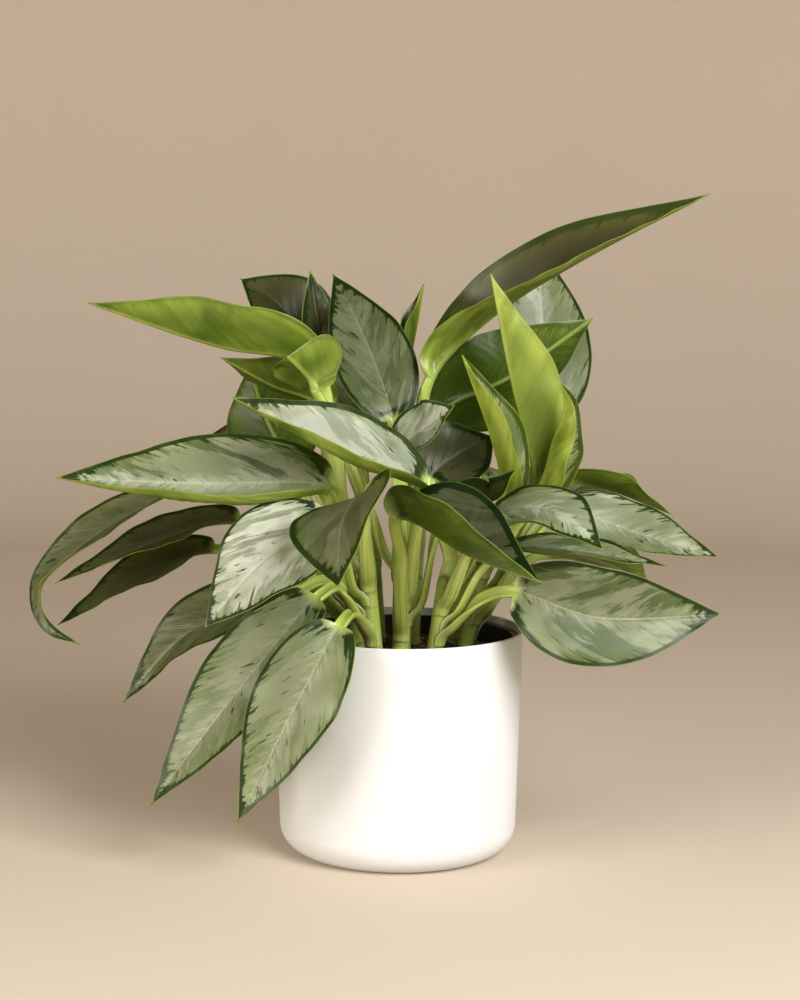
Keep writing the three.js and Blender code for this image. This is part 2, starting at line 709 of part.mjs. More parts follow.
/** A closed skin over rings of equal size, each ring seen anticlockwise from the far end. */
function skin(rings) {
  const size = rings[0].length;
  const position = rings.flat().flatMap((corner) => corner.toArray());
  const index = [];
  for (let r = 0; r + 1 < rings.length; r += 1) {
    for (let i = 0; i < size; i += 1) {
      const a = r * size + i;
      const b = r * size + ((i + 1) % size);
      // The upper and lower sides are split along matching diagonals.
      if (i < size / 2) index.push(a, b, a + size, b, b + size, a + size);
      else index.push(a, b, b + size, a, b + size, a + size);
    }
  }
  const half = size / 2;
  const last = (rings.length - 1) * size;
  for (let i = 0; i + 1 < half; i += 1) {
    const [a, b, c, d] = [i, i + 1, size - 2 - i, size - 1 - i];
    index.push(a, c, b, a, d, c);
    index.push(last + a, last + b, last + c, last + a, last + c, last + d);
  }
  const geometry = new THREE.BufferGeometry();
  geometry.setAttribute('position', new THREE.Float32BufferAttribute(position, 3));
  geometry.setIndex(index);
  return geometry;
}

function leafSolid(leaf, cane, level, clasp) {
  const line = centreLine(leaf, cane, level, clasp);
  const grown = { ...leaf, caneRadius: cane.radius };
  const stations = [0, line.clasp].map((length) => stalkStation(line, grown, length, 0));
  for (const share of ALONG_STALK) {
    const length = blend(line.clasp, line.baseAt, share);
    stations.push(stalkStation(line, grown, length, share));
  }
  const along = leaf.bent ? ALONG_BENT_BLADE : ALONG_BLADE;
  for (const u of along) stations.push(bladeStation(line, grown, u));
  return skin(stations.map(sectionRing));
}

function leafLevel(cane, order) {
  const room = cane.height - FIRST_LEAF_LEVEL;
  return FIRST_LEAF_LEVEL + (room * order) / cane.leaves.length;
}

// ---- The plant ----

const plant = new THREE.Group();
plant.add(coverPot(), nurseryPot(), soil());
CANES.forEach((cane, c) => {
  plant.add(caneSolid(cane, c + 1));
  const clasp = leafLevel(cane, 1) - leafLevel(cane, 0) - SHEATH_SPACING;
  cane.leaves.forEach((leaf, l) => {
    const solid = leafSolid(leaf, cane, leafLevel(cane, l), clasp);
    plant.add(piece(`leaf_${c + 1}_${l + 1}`, solid, LEAF_GREEN));
  });
});

export default plant;
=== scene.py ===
"""The looks of a potted chinese evergreen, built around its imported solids.

Each leaf, cane and pot, and the soil, is rebuilt here as a finer mesh on the same lines as its solid.
Sizes are in millimetres up to the mesh maker, which turns them into metres. +Z is up, +Y points to the
back, and the origin is the centre of the cover pot's underside.
"""

import math
from collections import namedtuple
from itertools import combinations
from types import SimpleNamespace

import bpy
import numpy as np
from mathutils import Matrix, Vector, noise


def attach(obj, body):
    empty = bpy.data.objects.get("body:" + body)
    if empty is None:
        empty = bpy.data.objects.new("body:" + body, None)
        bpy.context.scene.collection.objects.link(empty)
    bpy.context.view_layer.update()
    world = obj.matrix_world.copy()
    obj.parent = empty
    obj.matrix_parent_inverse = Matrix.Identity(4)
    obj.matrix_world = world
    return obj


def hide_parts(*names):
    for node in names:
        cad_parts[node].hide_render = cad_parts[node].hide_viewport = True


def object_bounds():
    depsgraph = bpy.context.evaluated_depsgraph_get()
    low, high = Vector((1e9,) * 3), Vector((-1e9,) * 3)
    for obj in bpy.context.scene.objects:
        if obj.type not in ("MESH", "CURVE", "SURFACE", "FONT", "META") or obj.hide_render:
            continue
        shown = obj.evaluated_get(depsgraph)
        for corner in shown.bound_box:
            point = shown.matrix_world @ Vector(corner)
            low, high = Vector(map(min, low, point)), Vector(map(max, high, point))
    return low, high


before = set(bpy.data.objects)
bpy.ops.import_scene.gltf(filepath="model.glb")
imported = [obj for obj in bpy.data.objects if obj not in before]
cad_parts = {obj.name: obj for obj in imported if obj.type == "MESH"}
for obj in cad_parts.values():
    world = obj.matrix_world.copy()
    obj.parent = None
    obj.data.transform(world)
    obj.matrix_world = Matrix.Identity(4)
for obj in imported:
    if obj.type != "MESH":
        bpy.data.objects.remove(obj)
CAD_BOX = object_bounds()
METRES = 0.001
QUARTER = math.pi / 2  # of a turn

# ---- Sizes that the solids have too, in millimetres ----

COVER_RIM_RADIUS = 124
COVER_FOOT_RADIUS = 118.4
COVER_HEIGHT = 227
COVER_WALL = 2.6
COVER_CORNER = 30

NURSERY_RIM_HEIGHT = 219.5
NURSERY_LIP_RADIUS = 119.6
NURSERY_LIP_DEPTH = 9
NURSERY_TOP_RADIUS = 115
NURSERY_FOOT_RADIUS = 84
NURSERY_WALL = 1.5
NURSERY_BEVEL = 4
DRAIN_HOLES = 6
DRAIN_HOLE_RADIUS = 6
DRAIN_CIRCLE_RADIUS = 52

SOIL_HEIGHT = 204
SOIL_EDGE_DROP = 5
SOIL_LUMP = 1.6
SMALL_LUMP = 0.96
SOIL_BEVEL = 6
GAP = 0.3

CANE_DEPTH = 70
CANE_SCAR_LEVEL = 4
CANE_SCAR_SWELL = 0.7
CANE_TIP_BEVEL = (3, 4)
CANE_TIP_DROP = 8

FIRST_LEAF_LEVEL = 12
SHEATH_HALF_WIDTH = 8.4
SHEATH_CLEARANCE = 0.55
SHEATH_SPACING = 6
SHOULDER_OUT = 10
SHOULDER_UP = 12
STALK_HALF_WIDTH = 4.8
STALK_THICKNESS = 6.8
STALK_CURL = 0.7
SHEATH_THICKNESS = 2.8
SHEATH_END = 0.9
MIDRIB_THICKNESS = 2.4
TIP_HALF_WIDTH = 0.6
BROADENING = 0.62
TAPERING = 1.15
TWIST_END = 0.5
OPENING_END = 0.06
NARROWING_END = 0.33
THICK_RIB_END = 0.3
RIB_FADE = 0.6
LOBE_LENGTH = 9
LOBED_WIDTH = 90
LOBE_FADE = 8
EDGE_RIPPLE = 2.2
RIPPLE_TURNS = (13, 12)
RIPPLE_STARTS = (0, 2)
STEPS_PER_KNOT = 24
KNOTS_BEFORE_BLADE = 4
STRAIGHT = 1e-4

# ---- Sizes of the finer forms, in millimetres ----

LATHE_SIDES = 144
SHEATH_STATIONS = 5
STALK_STATIONS = 20
BLADE_STATIONS = 84
HALF_SECTION = 16  # places across each half of a section
STATION_CROWDING = 1.6  # of stations towards the base of a blade
SECTION_CROWDING = 0.6  # of places towards the midrib and the margins
MARGIN_STEPS = 6  # points of the margin between two stations, where distances from it are measured
PLATE_THICKNESS = 1.0  # of a blade beside its midrib
MARGIN_THICKNESS = 0.45
CREASE = 0.03  # how wide the rounding of the crease at the midrib is, as a share of the half width
VEIN_PITCH = 15
VEIN_RELIEF = 0.32
GROOVE_DEPTH = 0.5
GROOVE_WIDTH = 1.7
VEIN_SLOPE = 1.10  # how far a side vein runs forwards for each millimetre that it runs outwards
VEIN_BEND = 0.014
RIDGE_PITCH = 4.1  # of the fine ridges between the side veins
PLEAT_STARTS = 10  # how far from the midrib the pleats along the side veins have their full depth
PLEAT_ENDS = 9  # the same from the margin
DIMPLE = 0.7  # the soft unevenness of a blade
DIMPLE_STARTS = 14
DIMPLE_ALONG = (0.058, 0.11)  # radians in a millimetre, of its two waves
DIMPLE_ACROSS = (0.09, 0.07)
FLUTTER = 0.5  # the fine unevenness of its margin
FLUTTER_ALONG = 0.19
PHASE_STEP = 1.7  # how much the unevenness is shifted from one leaf to the next
RIB_WIDTHS = (3.0, 1.3)  # of the thickening along the midrib, at the base and at the tip
STALK_ROUNDNESS = 0.92
FOOT_THINNING = 0.3  # thickness of a sheath at its very foot, as a share of its full thickness
TIP_THINNING = 0.55  # thickness of a blade's tip, as a share of the blade's
TIP_START = 0.94
OFF_THE_BLADE = 40.0  # what a stalk says for its distance from a blade's margin
OFF_THE_SHEATH = 30  # what is added to it above the sheath
GROOVE_FADE = 0.8  # where the groove starts to fade out, as a share of the blade
TILT_START = 0.08  # how far from the midrib a section has its full tilt, as a share of its half width
PATTERN_SHIFT = 9.37  # how far each leaf's pattern lies from the last one's

CANE_SIDES = 36
CANE_STATIONS = 150
CANE_INSET = 0.1
CANE_DOME = 0.4
RING_HEIGHT = 0.12  # of the ring under each leaf's foot
RING_SPREAD = 1.3
RING_DROP = 2
SWELL_SPREAD = 1.8

CORNER_STEPS = 20
LIP_STEPS = 6
PROFILE_STEPS = (12, 14, 20)  # longest steps along the cover pot, the nursery pot and the soil
HOLE_SIDES = 32
CUT_REACH = 5
CANE_HOLE_TOP = 30
SOIL_RINGS = 60
SETTLED_RIM = 6  # how far in from the soil's edge its crumbs get their full height
CRUMBLES = ((0.17, 3.0, 1.1), (0.45, 9.0, 0.7))  # scale, place in the noise, height
CRUMB_CLEARANCE = 2.2
CRUMB_RIM_GAP = 4
CRUMB_RISE = 0.25  # of its centre above the soil, as a share of its size
CRUMB_STRETCH = (0.6, 1.35)
CRUMB_PUSH = (0.7, 1.2)

# ---- Canes and their leaves, as in the solids ----
# foot is where a cane leaves the soil, and lean how far it leans for each millimetre it rises. blade is the
# points of a leaf's midrib, and face the way its upper side faces. fold and curl are (left, right) as seen
# from base to tip from above, or one number for both, in radians. side is where on the cane it grows.
# look is how silvery the upper side is, how strongly green blotches it, and how broad its dark margin is,
# each mostly from 0 to 1; the silveriness also paints in light and shade, lower on leaves that face away
# from the light and higher on brightly lit ones. The number after look is how pale and clear the underside
# is: 1 on a new leaf, and below 0 on the darkest; it also paints in how brightly light falls on the
# underside and shines through it. scar is an old brown mark: its place along and across, and its reach.

Cane = namedtuple("Cane", "foot lean radius height leaves")
Leaf = namedtuple("Leaf", "blade face width fold curl rise side tip_face look young scar",
                  defaults=(0.1, 6, None, None, (0.5, 0.6, 0.3), 0.4, None))

cane_1 = Cane((-24, -38), (-0.1, -0.12), 8.5, 96, [
    Leaf([(-57, -124, 250), (-102, -150, 168), (-151, -160, 66)], (-0.2, -0.9, 0.4), 88, 0.18, rise=20,
        look=(0.36, 0.38, 0.4)),
    Leaf([(-79, -92, 272), (-162, -114, 173), (-238, -115, 70)], (-0.35, -0.8, 0.5), 92, (0.12, 0.2),
        rise=26, look=(0.36, 0.42, 0.45)),
    Leaf([(-104, -46, 268), (-206, -46, 228), (-273, -40, 155)], (-0.2, -0.62, 0.76), 78, (0.25, 0.2),
        curl=(0.2, 0.1), rise=22, look=(0.22, 0.45, 0.4), scar=(148, -12, 11, 3)),
    Leaf([(-68, -116, 350), (-131, -148, 310), (-182, -158, 252)], (-0.35, -0.82, 0.45), 112, (0.3, 0),
        curl=0, rise=20, side=(-1, -0.7), look=(1.02, 0.5, 0.3), scar=(118, -7, 5, 2.6)),
    Leaf([(-36, -138, 377), (-54, -192, 357), (-56, -238, 304)], (-0.62, -0.5, 0.6), 114, (0.1, 0.15),
        curl=(0.2, 0.1), rise=22, side=(0.1, -1), look=(0.2, 0.6, 0.85)),
    Leaf([(-66, -70, 375), (-192, -86, 380), (-328, -108, 386)], (0, -0.64, 0.77), 110, (-0.6, 0.2),
        curl=(2.3, 0.1), rise=18, side=(-1, 0.1), look=(0.65, 0.75, 0.55), young=0.6),
])
cane_2 = Cane((2, -12), (0.02, -0.06), 9, 104, [
    Leaf([(-2, -126, 357), (58, -175, 327), (127, -216, 307)], (0.1, -0.42, 0.9), 122, (0.55, 1.15),
        rise=20, side=(-0.1, -1), look=(0.14, 0.5, 1.0), young=0.1),
    Leaf([(53, -62, 372), (82, -88, 366), (109, -112, 399)], (0.1, -0.6, 0.8), 46, 0.3, curl=0.2, rise=18,
        side=(1, -0.35), look=(-0.15, 0.4, 1.0)),
    Leaf([(22, -94, 380), (-62, -124, 424), (-158, -146, 467)], (0.1, -0.6, 0.8), 94, (-0.4, 0.15),
        curl=(2.1, 0.1), rise=14, side=(0.35, -1), look=(0.85, 0.4, 0.85), young=0.6),
    Leaf([(0, -40, 410), (27, -58, 436), (50, -74, 456)], (0.1, -0.62, 0.72), 66, (0.2, 0.1),
        side=(-0.3, -1), look=(0.8, 0.4, 0.3)),
    Leaf([(-82, -66, 470), (-97, -79, 490), (-110, -91, 502)], (0.05, -0.05, 1), 96, (1.55, -0.1),
        curl=(0, -0.1), rise=14, side=(-1, 0.3), look=(0.4, 0.5, 0.3)),
    Leaf([(-8, -8, 434), (-35, 30, 508), (-72, 90, 577)], (0, -0.9, 0.4), 82, (0.16, 0.2),
        curl=(0.05, -0.25), side=(0.2, 1), look=(0.26, 0.6, 0.5)),
])
cane_3 = Cane((-42, 14), (-0.16, 0.05), 8.5, 92, [
    Leaf([(-190, 66, 296), (-266, 60, 267), (-351, 52, 216)], (0, -0.35, 0.93), 70, 0.2, curl=0.15,
        rise=22, side=(-1, 0.7), look=(0.02, 0.3, 0.45), young=0.3),
    Leaf([(-160, 20, 332), (-256, 12, 305), (-346, 5, 267)], (0, -0.3, 0.95), 66, (0.2, 0.25),
        curl=(0.2, 0.15), rise=22, side=(-1, -0.4), look=(0.05, 0.35, 0.4), young=0.3),
    Leaf([(-200, 66, 366), (-270, 58, 335), (-329, 50, 296), (-367, 42, 256), (-358, 32, 220),
        (-324, 22, 201)], (0, -0.25, 0.97), 58, 0.3, curl=0.3, rise=34, tip_face=(-0.8, -0.45, 0.2),
        look=(0.2, 0.4, 0.3), young=0.5),
    Leaf([(-114, 52, 384), (-140, 60, 436), (-156, 76, 484)], (0.1, 0.95, 0.3), 112, 0.12, curl=(0.1, 0.2),
        rise=8, side=(-0.6, 1), look=(0.3, 0.5, 0.4), young=-0.7),
    Leaf([(-74, 20, 443), (-130, 12, 468), (-180, 4, 495)], (0.1, 0.6, 0.8), 76, 0.3, curl=0.2, rise=8,
        side=(0.8, 0.6), look=(0.15, 0.4, 0.5), young=0.15),
    Leaf([(-84, -22, 488), (-176, -26, 507), (-307, -34, 549)], (0, 0.1, 1), 100, (0.95, 0.4),
        curl=(0.3, 0.1), side=(-0.5, -1), look=(0.4, 0.6, 0.3), young=0.3),
])
cane_4 = Cane((34, -34), (0.14, -0.08), 8, 90, [
    Leaf([(109, -92, 279), (187, -104, 257), (312, -82, 257)], (-0.05, -0.9, 0.4), 102, (0.5, 0.05),
        curl=(0.1, 0.05), rise=16, look=(0.32, 0.85, 0.45)),
    Leaf([(103, -64, 317), (185, -88, 317), (256, -102, 306)], (0, -0.2, 0.98), 62, 0.1, rise=16,
        look=(0.45, 0.75, 0.5)),
    Leaf([(83, -98, 352), (140, -146, 365), (186, -192, 334)], (0.1, -0.52, 0.85), 76, (0.1, 0),
        curl=(0.1, 0.05), rise=12, side=(0.4, -1), look=(0.65, 0.5, 0.45)),
    Leaf([(100, -50, 359), (88, -66, 421), (57, -78, 505)], (0.8, -0.4, 0.3), 66, 1.0, side=(1, 0.1),
        look=(0.35, 0.6, 0.6), young=1.0),
    Leaf([(29, -20, 378), (60, -4, 404), (92, 20, 418)], (0.1, -0.7, 0.7), 84, 0.2, rise=4, side=(0.2, 1),
        look=(0.08, 0.25, 0.9)),
])
cane_5 = Cane((66, 2), (0.2, 0.0), 8, 106, [
    Leaf([(145, 4, 306), (202, 34, 292), (256, 80, 262)], (0.1, 0.4, 0.9), 84, 0.2, curl=0.2, rise=16,
        side=(0.8, 1), look=(0.4, 0.6, 0.4)),
    Leaf([(157, -12, 345), (236, -26, 327), (312, -48, 308)], (0, -0.6, 0.8), 74, (0.2, 0),
        curl=(0.05, 0.5), rise=16, side=(1, -0.8), look=(0.65, 0.3, 0.1)),
    Leaf([(158, 24, 372), (212, 36, 364), (275, 40, 339)], (0, 0.05, 1), 74, 0.3, curl=(0.1, 0.4), rise=14,
        side=(1, 0.5), look=(0.5, 0.6, 0.4)),
    Leaf([(148, 84, 338), (212, 134, 354), (266, 184, 332)], (0.1, 0.25, 0.95), 84, 0.25, curl=0.15,
        rise=10, side=(-0.2, 1)),
    Leaf([(133, -34, 366), (108, -50, 470), (84, -60, 582)], (0.9, 0.2, 0.35), 100, (1.35, 0.8), rise=4,
        side=(0.5, -1), look=(0.4, 0.6, 0.5), young=0.7),
    Leaf([(131, -62, 364), (146, -70, 420), (157, -76, 456), (151, -82, 481)], (0.8, -0.4, 0.3), 62, 1.0,
        side=(-0.3, -1), look=(0.35, 0.5, 0.6), young=0.95),
])
cane_6 = Cane((12, 34), (0.04, 0.08), 8.5, 96, [
    Leaf([(20, 116, 382), (26, 200, 404), (30, 290, 352)], (0, 0.2, 0.95), 100, 0.2, curl=0.15, rise=12),
    Leaf([(6, 56, 480), (14, 62, 530), (21, 70, 568)], (-0.8, -0.5, 0.1), 34, 0.9, curl=0.5, rise=2,
        look=(0.2, 0.3, 0.4)),
    Leaf([(26, 10, 476), (92, 16, 540), (184, 0, 600), (298, -20, 661)], (0, 0.25, 1), 90, 0.8, rise=4,
        tip_face=(0, -0.62, 0.8), look=(-0.2, 0.6, 1.0), young=0.7),
])
cane_7 = Cane((56, 46), (0.12, 0.12), 8, 88, [
    Leaf([(150, 90, 290), (220, 140, 262), (270, 180, 200)], (0.2, 0.3, 0.9), 92, 0.2, curl=0.15, rise=20),
    Leaf([(96, 134, 362), (134, 214, 354), (160, 284, 300)], (0.1, 0.3, 0.92), 92, 0.2, curl=0.15, rise=18,
        side=(1, 1), look=(0.55, 0.6, 0.3)),
    Leaf([(62, 120, 436), (74, 200, 484), (64, 284, 484)], (0, -0.1, 0.97), 98, 0.25, curl=0.15, rise=8,
        side=(-0.3, 1), look=(0.5, 0.7, 0.35)),
    Leaf([(142, 104, 424), (147, 122, 512), (139, 150, 612)], (0.05, -0.9, 0.4), 100, 0.15,
        look=(0.55, 0.4, 0.35)),
    Leaf([(32, 44, 433), (110, 58, 476), (193, 68, 535)], (-0.1, 0.9, 0.4), 110, 0.15, rise=4,
        look=(0.3, 0.5, 0.5), young=-1.0),
])
cane_8 = Cane((-22, 54), (-0.08, 0.1), 8.5, 90, [
    Leaf([(-80, 120, 292), (-130, 190, 262), (-165, 256, 190)], (-0.1, 0.4, 0.9), 96, 0.2, curl=0.15,
        rise=20),
    Leaf([(-104, 106, 380), (-158, 124, 414), (-206, 136, 402)], (0, -0.25, 0.97), 82, 0.2, curl=0.15,
        rise=12, look=(0.1, 0.4, 0.5)),
    Leaf([(-44, 112, 420), (-72, 176, 466), (-112, 252, 478)], (0, 0.2, 0.97), 104, 0.25, curl=0.15,
        rise=12, side=(-0.4, 1), look=(0.5, 0.6, 0.35)),
    Leaf([(-92, 104, 498), (-130, 112, 546), (-169, 126, 570)], (0.1, -0.75, 0.65), 92, (0.2, 0.25),
        rise=8, side=(-1, -0.5), look=(0.0, 0.45, 0.3)),
    Leaf([(-80, 72, 478), (-87, 75, 530), (-95, 78, 580)], (0.15, -0.95, 0.1), 46, (0.5, 0.6),
        side=(0.4, 1), look=(-0.02, 0.4, 0.6)),
])
CANES = [cane_1, cane_2, cane_3, cane_4, cane_5, cane_6, cane_7, cane_8]


# ---- Small helpers ----

def blend(a, b, share):
    return a + (b - a) * share


def pair(value):
    return value if isinstance(value, tuple) else (value, value)


def ease(share):
    """A share that eases from 0 to 1 and stays inside that range."""
    t = np.clip(share, 0, 1)
    return t * t * (3 - 2 * t)


def unit(vectors):
    return vectors / np.linalg.norm(vectors, axis=-1, keepdims=True)


def dot(a, b):
    return np.sum(a * b, axis=-1, keepdims=True)


def new_object(name, data):
    made = bpy.data.objects.new(name, data)
    bpy.context.scene.collection.objects.link(made)
    return made


def new_mesh(name, points, faces, material=None):
    """A mesh from points in metres, smooth where it has a material."""
    mesh = bpy.data.meshes.new(name)
    mesh.from_pydata(points, [], faces)
    if material:
        mesh.shade_smooth()
        mesh.materials.append(material)
    return mesh


def mesh_piece(name, points, faces, material, attributes=None):
    """A smooth mesh object from points in millimetres, with vector attributes for its material."""
    kept_inside = np.clip(np.asarray(points) * METRES, *(np.array(corner) for corner in CAD_BOX))
    mesh = new_mesh(name, kept_inside, faces, material)
    for key, values in (attributes or {}).items():
        layer = mesh.attributes.new(key, "FLOAT_VECTOR", "POINT")
        layer.data.foreach_set("vector", np.asarray(values, np.float32).ravel())
    return new_object(name, mesh)


def finish_piece(piece, slot, *nodes):
    """Lets the piece ride on the object's one body and stand for the nodes that it replaces."""
    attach(piece, "root")
    if nodes:
        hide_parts(*nodes)


def arc(x, y, radius, start, end, steps):
    angles = np.linspace(start, end, steps + 1)
    return [(x + radius * math.cos(a), y + radius * math.sin(a)) for a in angles]


def densified(profile, longest):
    """The profile with points added along its long straight stretches."""
    points = [profile[0]]
    for before, after in zip(profile, profile[1:]):
        parts = max(1, math.ceil(math.dist(before, after) / longest))
        for i in range(1, parts + 1):
            points.append(tuple(blend(b, a, i / parts) for b, a in zip(before, after)))
    return points


def ring_faces(rings, size, start=0):
    """Four-sided faces between rings of points, the first of which has the number start."""
    faces = []
    for r in range(rings - 1):
        for i in range(size):
            a = start + r * size + i
            b = start + r * size + (i + 1) % size
            faces.append((a, b, b + size, a + size))
    return faces


def turned(profile, sides=LATHE_SIDES):
    """Points and faces of a solid of revolution about +Z. The profile starts and ends on the axis."""
    rings = np.array(profile[1:-1])
    angles = np.linspace(0, 2 * math.pi, sides, endpoint=False)
    points = [(0, 0, profile[0][1])]
    for radius, height in rings:
        ring = np.stack([radius * np.cos(angles), radius * np.sin(angles), np.full(sides, height)], 1)
        points.extend(ring.tolist())
    points.append((0, 0, profile[-1][1]))
    faces = [(0, 1 + (i + 1) % sides, 1 + i) for i in range(sides)]
    faces += ring_faces(len(rings), sides, 1)
    last = 1 + (len(rings) - 1) * sides
    faces += [(last + i, last + (i + 1) % sides, len(points) - 1) for i in range(sides)]
    return np.array(points, float), faces


def cutting_tube(radius, low, high, sides):
    return turned([(0, low), (radius, low), (radius, high), (0, high)], sides)


def subtract(piece, tubes):
    """Cuts tubes, each given as its points in millimetres and its faces, out of a mesh object."""
    points = np.vstack([tube for tube, _ in tubes]) * METRES
    faces = []
    for i, (tube, tube_faces) in enumerate(tubes):
        faces += [tuple(v + len(tube) * i for v in face) for face in tube_faces]
    cutter = new_object("cutter", new_mesh("cutter", points, faces))
    change = piece.modifiers.new("cut", "BOOLEAN")
    change.operation = "DIFFERENCE"
    change.object = cutter
    change.solver = "EXACT"
    bpy.context.view_layer.update()
    shape = piece.evaluated_get(bpy.context.evaluated_depsgraph_get())
    cut = bpy.data.meshes.new_from_object(shape)
    piece.modifiers.clear()
    piece.data = cut
    bpy.data.objects.remove(cutter)


# ---- Materials ----

def made_by(operation):
    """A method that makes a new value from one value and any others."""
    return lambda value, *others: value.paint.math(operation, value, *others)


class Value:
    """One number of a material. What is added to it, taken from it or multiplied by it makes another."""

    __add__ = __radd__ = made_by("ADD")
    __sub__ = made_by("SUBTRACT")
    __mul__ = __rmul__ = made_by("MULTIPLY")
    least = made_by("MINIMUM")
    most = made_by("MAXIMUM")
    size = made_by("ABSOLUTE")

    def __init__(self, paint, socket):
        self.paint = paint
        self.socket = socket

    def __rsub__(self, other):
        return self.paint.math("SUBTRACT", other, self)

    def smooth(self, low, high):
        """0 below low, 1 above high and a soft step between them. high may be the smaller."""
        inputs = {"Value": self, "From Min": min(low, high), "From Max": max(low, high)}
        made = self.paint.node("MapRange", inputs, interpolation_type="SMOOTHSTEP")
        step = Value(self.paint, made.outputs[0])
        return 1.0 - step if high < low else step

    def range(self, low, high):
        """A value from 0 to 1, spread from low to high."""
        return self * (high - low) + low


class Paint:
    """A node-based material, put together one step at a time."""

    def __init__(self, name):
        self.material = bpy.data.materials.new(name)
        self.material.use_nodes = True
        self.tree = self.material.node_tree
        self.tree.nodes.clear()

    def node(self, kind, inputs=None, **settings):
        made = self.tree.nodes.new("ShaderNode" + kind)
        for key, value in settings.items():
            setattr(made, key, value)
        for key, value in (inputs or {}).items():
            self.plug(made.inputs[key], value)
        return made

    def plug(self, socket, value):
        value = value.socket if isinstance(value, Value) else value
        if isinstance(value, bpy.types.NodeSocket):
            self.tree.links.new(value, socket)
        else:
            socket.default_value = value

    def math(self, operation, *values):
        made = self.node("Math", dict(enumerate(values)), operation=operation)
        return Value(self, made.outputs[0])

    def parts(self, vector):
        """The three numbers of a vector."""
        split = self.node("SeparateXYZ", {"Vector": vector})
        return [Value(self, socket) for socket in split.outputs]

    def attribute(self, name):
        return self.parts(self.node("Attribute", attribute_name=name).outputs["Vector"])

    def place(self):
        return self.node("TexCoord").outputs["Object"]

    def vector(self, x, y, z):
        return self.node("CombineXYZ", {"X": x, "Y": y, "Z": z}).outputs[0]

    def noise(self, vector, scale=1.0, detail=2.0, roughness=0.5):
        inputs = {"Vector": vector, "Scale": scale, "Detail": detail, "Roughness": roughness}
        return Value(self, self.node("TexNoise", inputs).outputs["Fac"])

    def mix(self, a, b, share):
        """A colour between a and b."""
        made = self.node("Mix", {"Factor": share}, data_type="RGBA", clamp_factor=True)
        for socket, colour in ((made.inputs[6], a), (made.inputs[7], b)):
            self.plug(socket, colour if isinstance(colour, bpy.types.NodeSocket) else (*colour, 1.0))
        return made.outputs[2]

    def coats(self, colour, *coats):
        """The colour under coats of others, each given with its share."""
        for coat, share in coats:
            colour = self.mix(colour, coat, share)
        return colour

    def bump(self, height, strength, distance):
        inputs = {"Height": height, "Strength": strength, "Distance": distance}
        return self.node("Bump", inputs).outputs[0]

    def surface(self, colour, roughness, normal=None, **inputs):
        named = {key.replace("_", " "): value for key, value in inputs.items()}
        named |= {"Base Color": colour, "Roughness": roughness}
        if normal is not None:
            named["Normal"] = normal
        return self.node("BsdfPrincipled", named).outputs[0]

    def done(self, shader):
        self.node("OutputMaterial", {"Surface": shader})
        return self.material


SILVER = (0.335, 0.37, 0.232)
PALE_SILVER = (0.77, 0.79, 0.695)
OLIVE = (0.056, 0.044, 0.025)
MID_GREEN = (0.092, 0.138, 0.055)
DARK_GREEN = (0.01, 0.03, 0.006)
DARK_STREAK = (0.028, 0.056, 0.018)
EDGE_YELLOW = (0.27, 0.37, 0.06)
MIDRIB_PALE = (0.56, 0.61, 0.36)
UNDER_GREEN = (0.16, 0.23, 0.02)
UNDER_DEEP = (0.055, 0.1, 0.007)
UNDER_PALE = (0.52, 0.6, 0.15)
GLOW = (0.36, 0.48, 0.03)
# the underside of young leaves, and painted light where light falls on an underside or shines through it
YOUNG_AND_LIT_GREEN = (0.52, 0.62, 0.15)
YOUNG_GLOW = (0.92, 0.98, 0.26)
STALK_GREEN = (0.46, 0.55, 0.15)
STALK_DEEP = (0.25, 0.34, 0.07)
STALK_PALE = (0.66, 0.7, 0.3)
SHEATH_EDGE = (0.62, 0.63, 0.42)
SCAR_BROWN = (0.17, 0.085, 0.03)


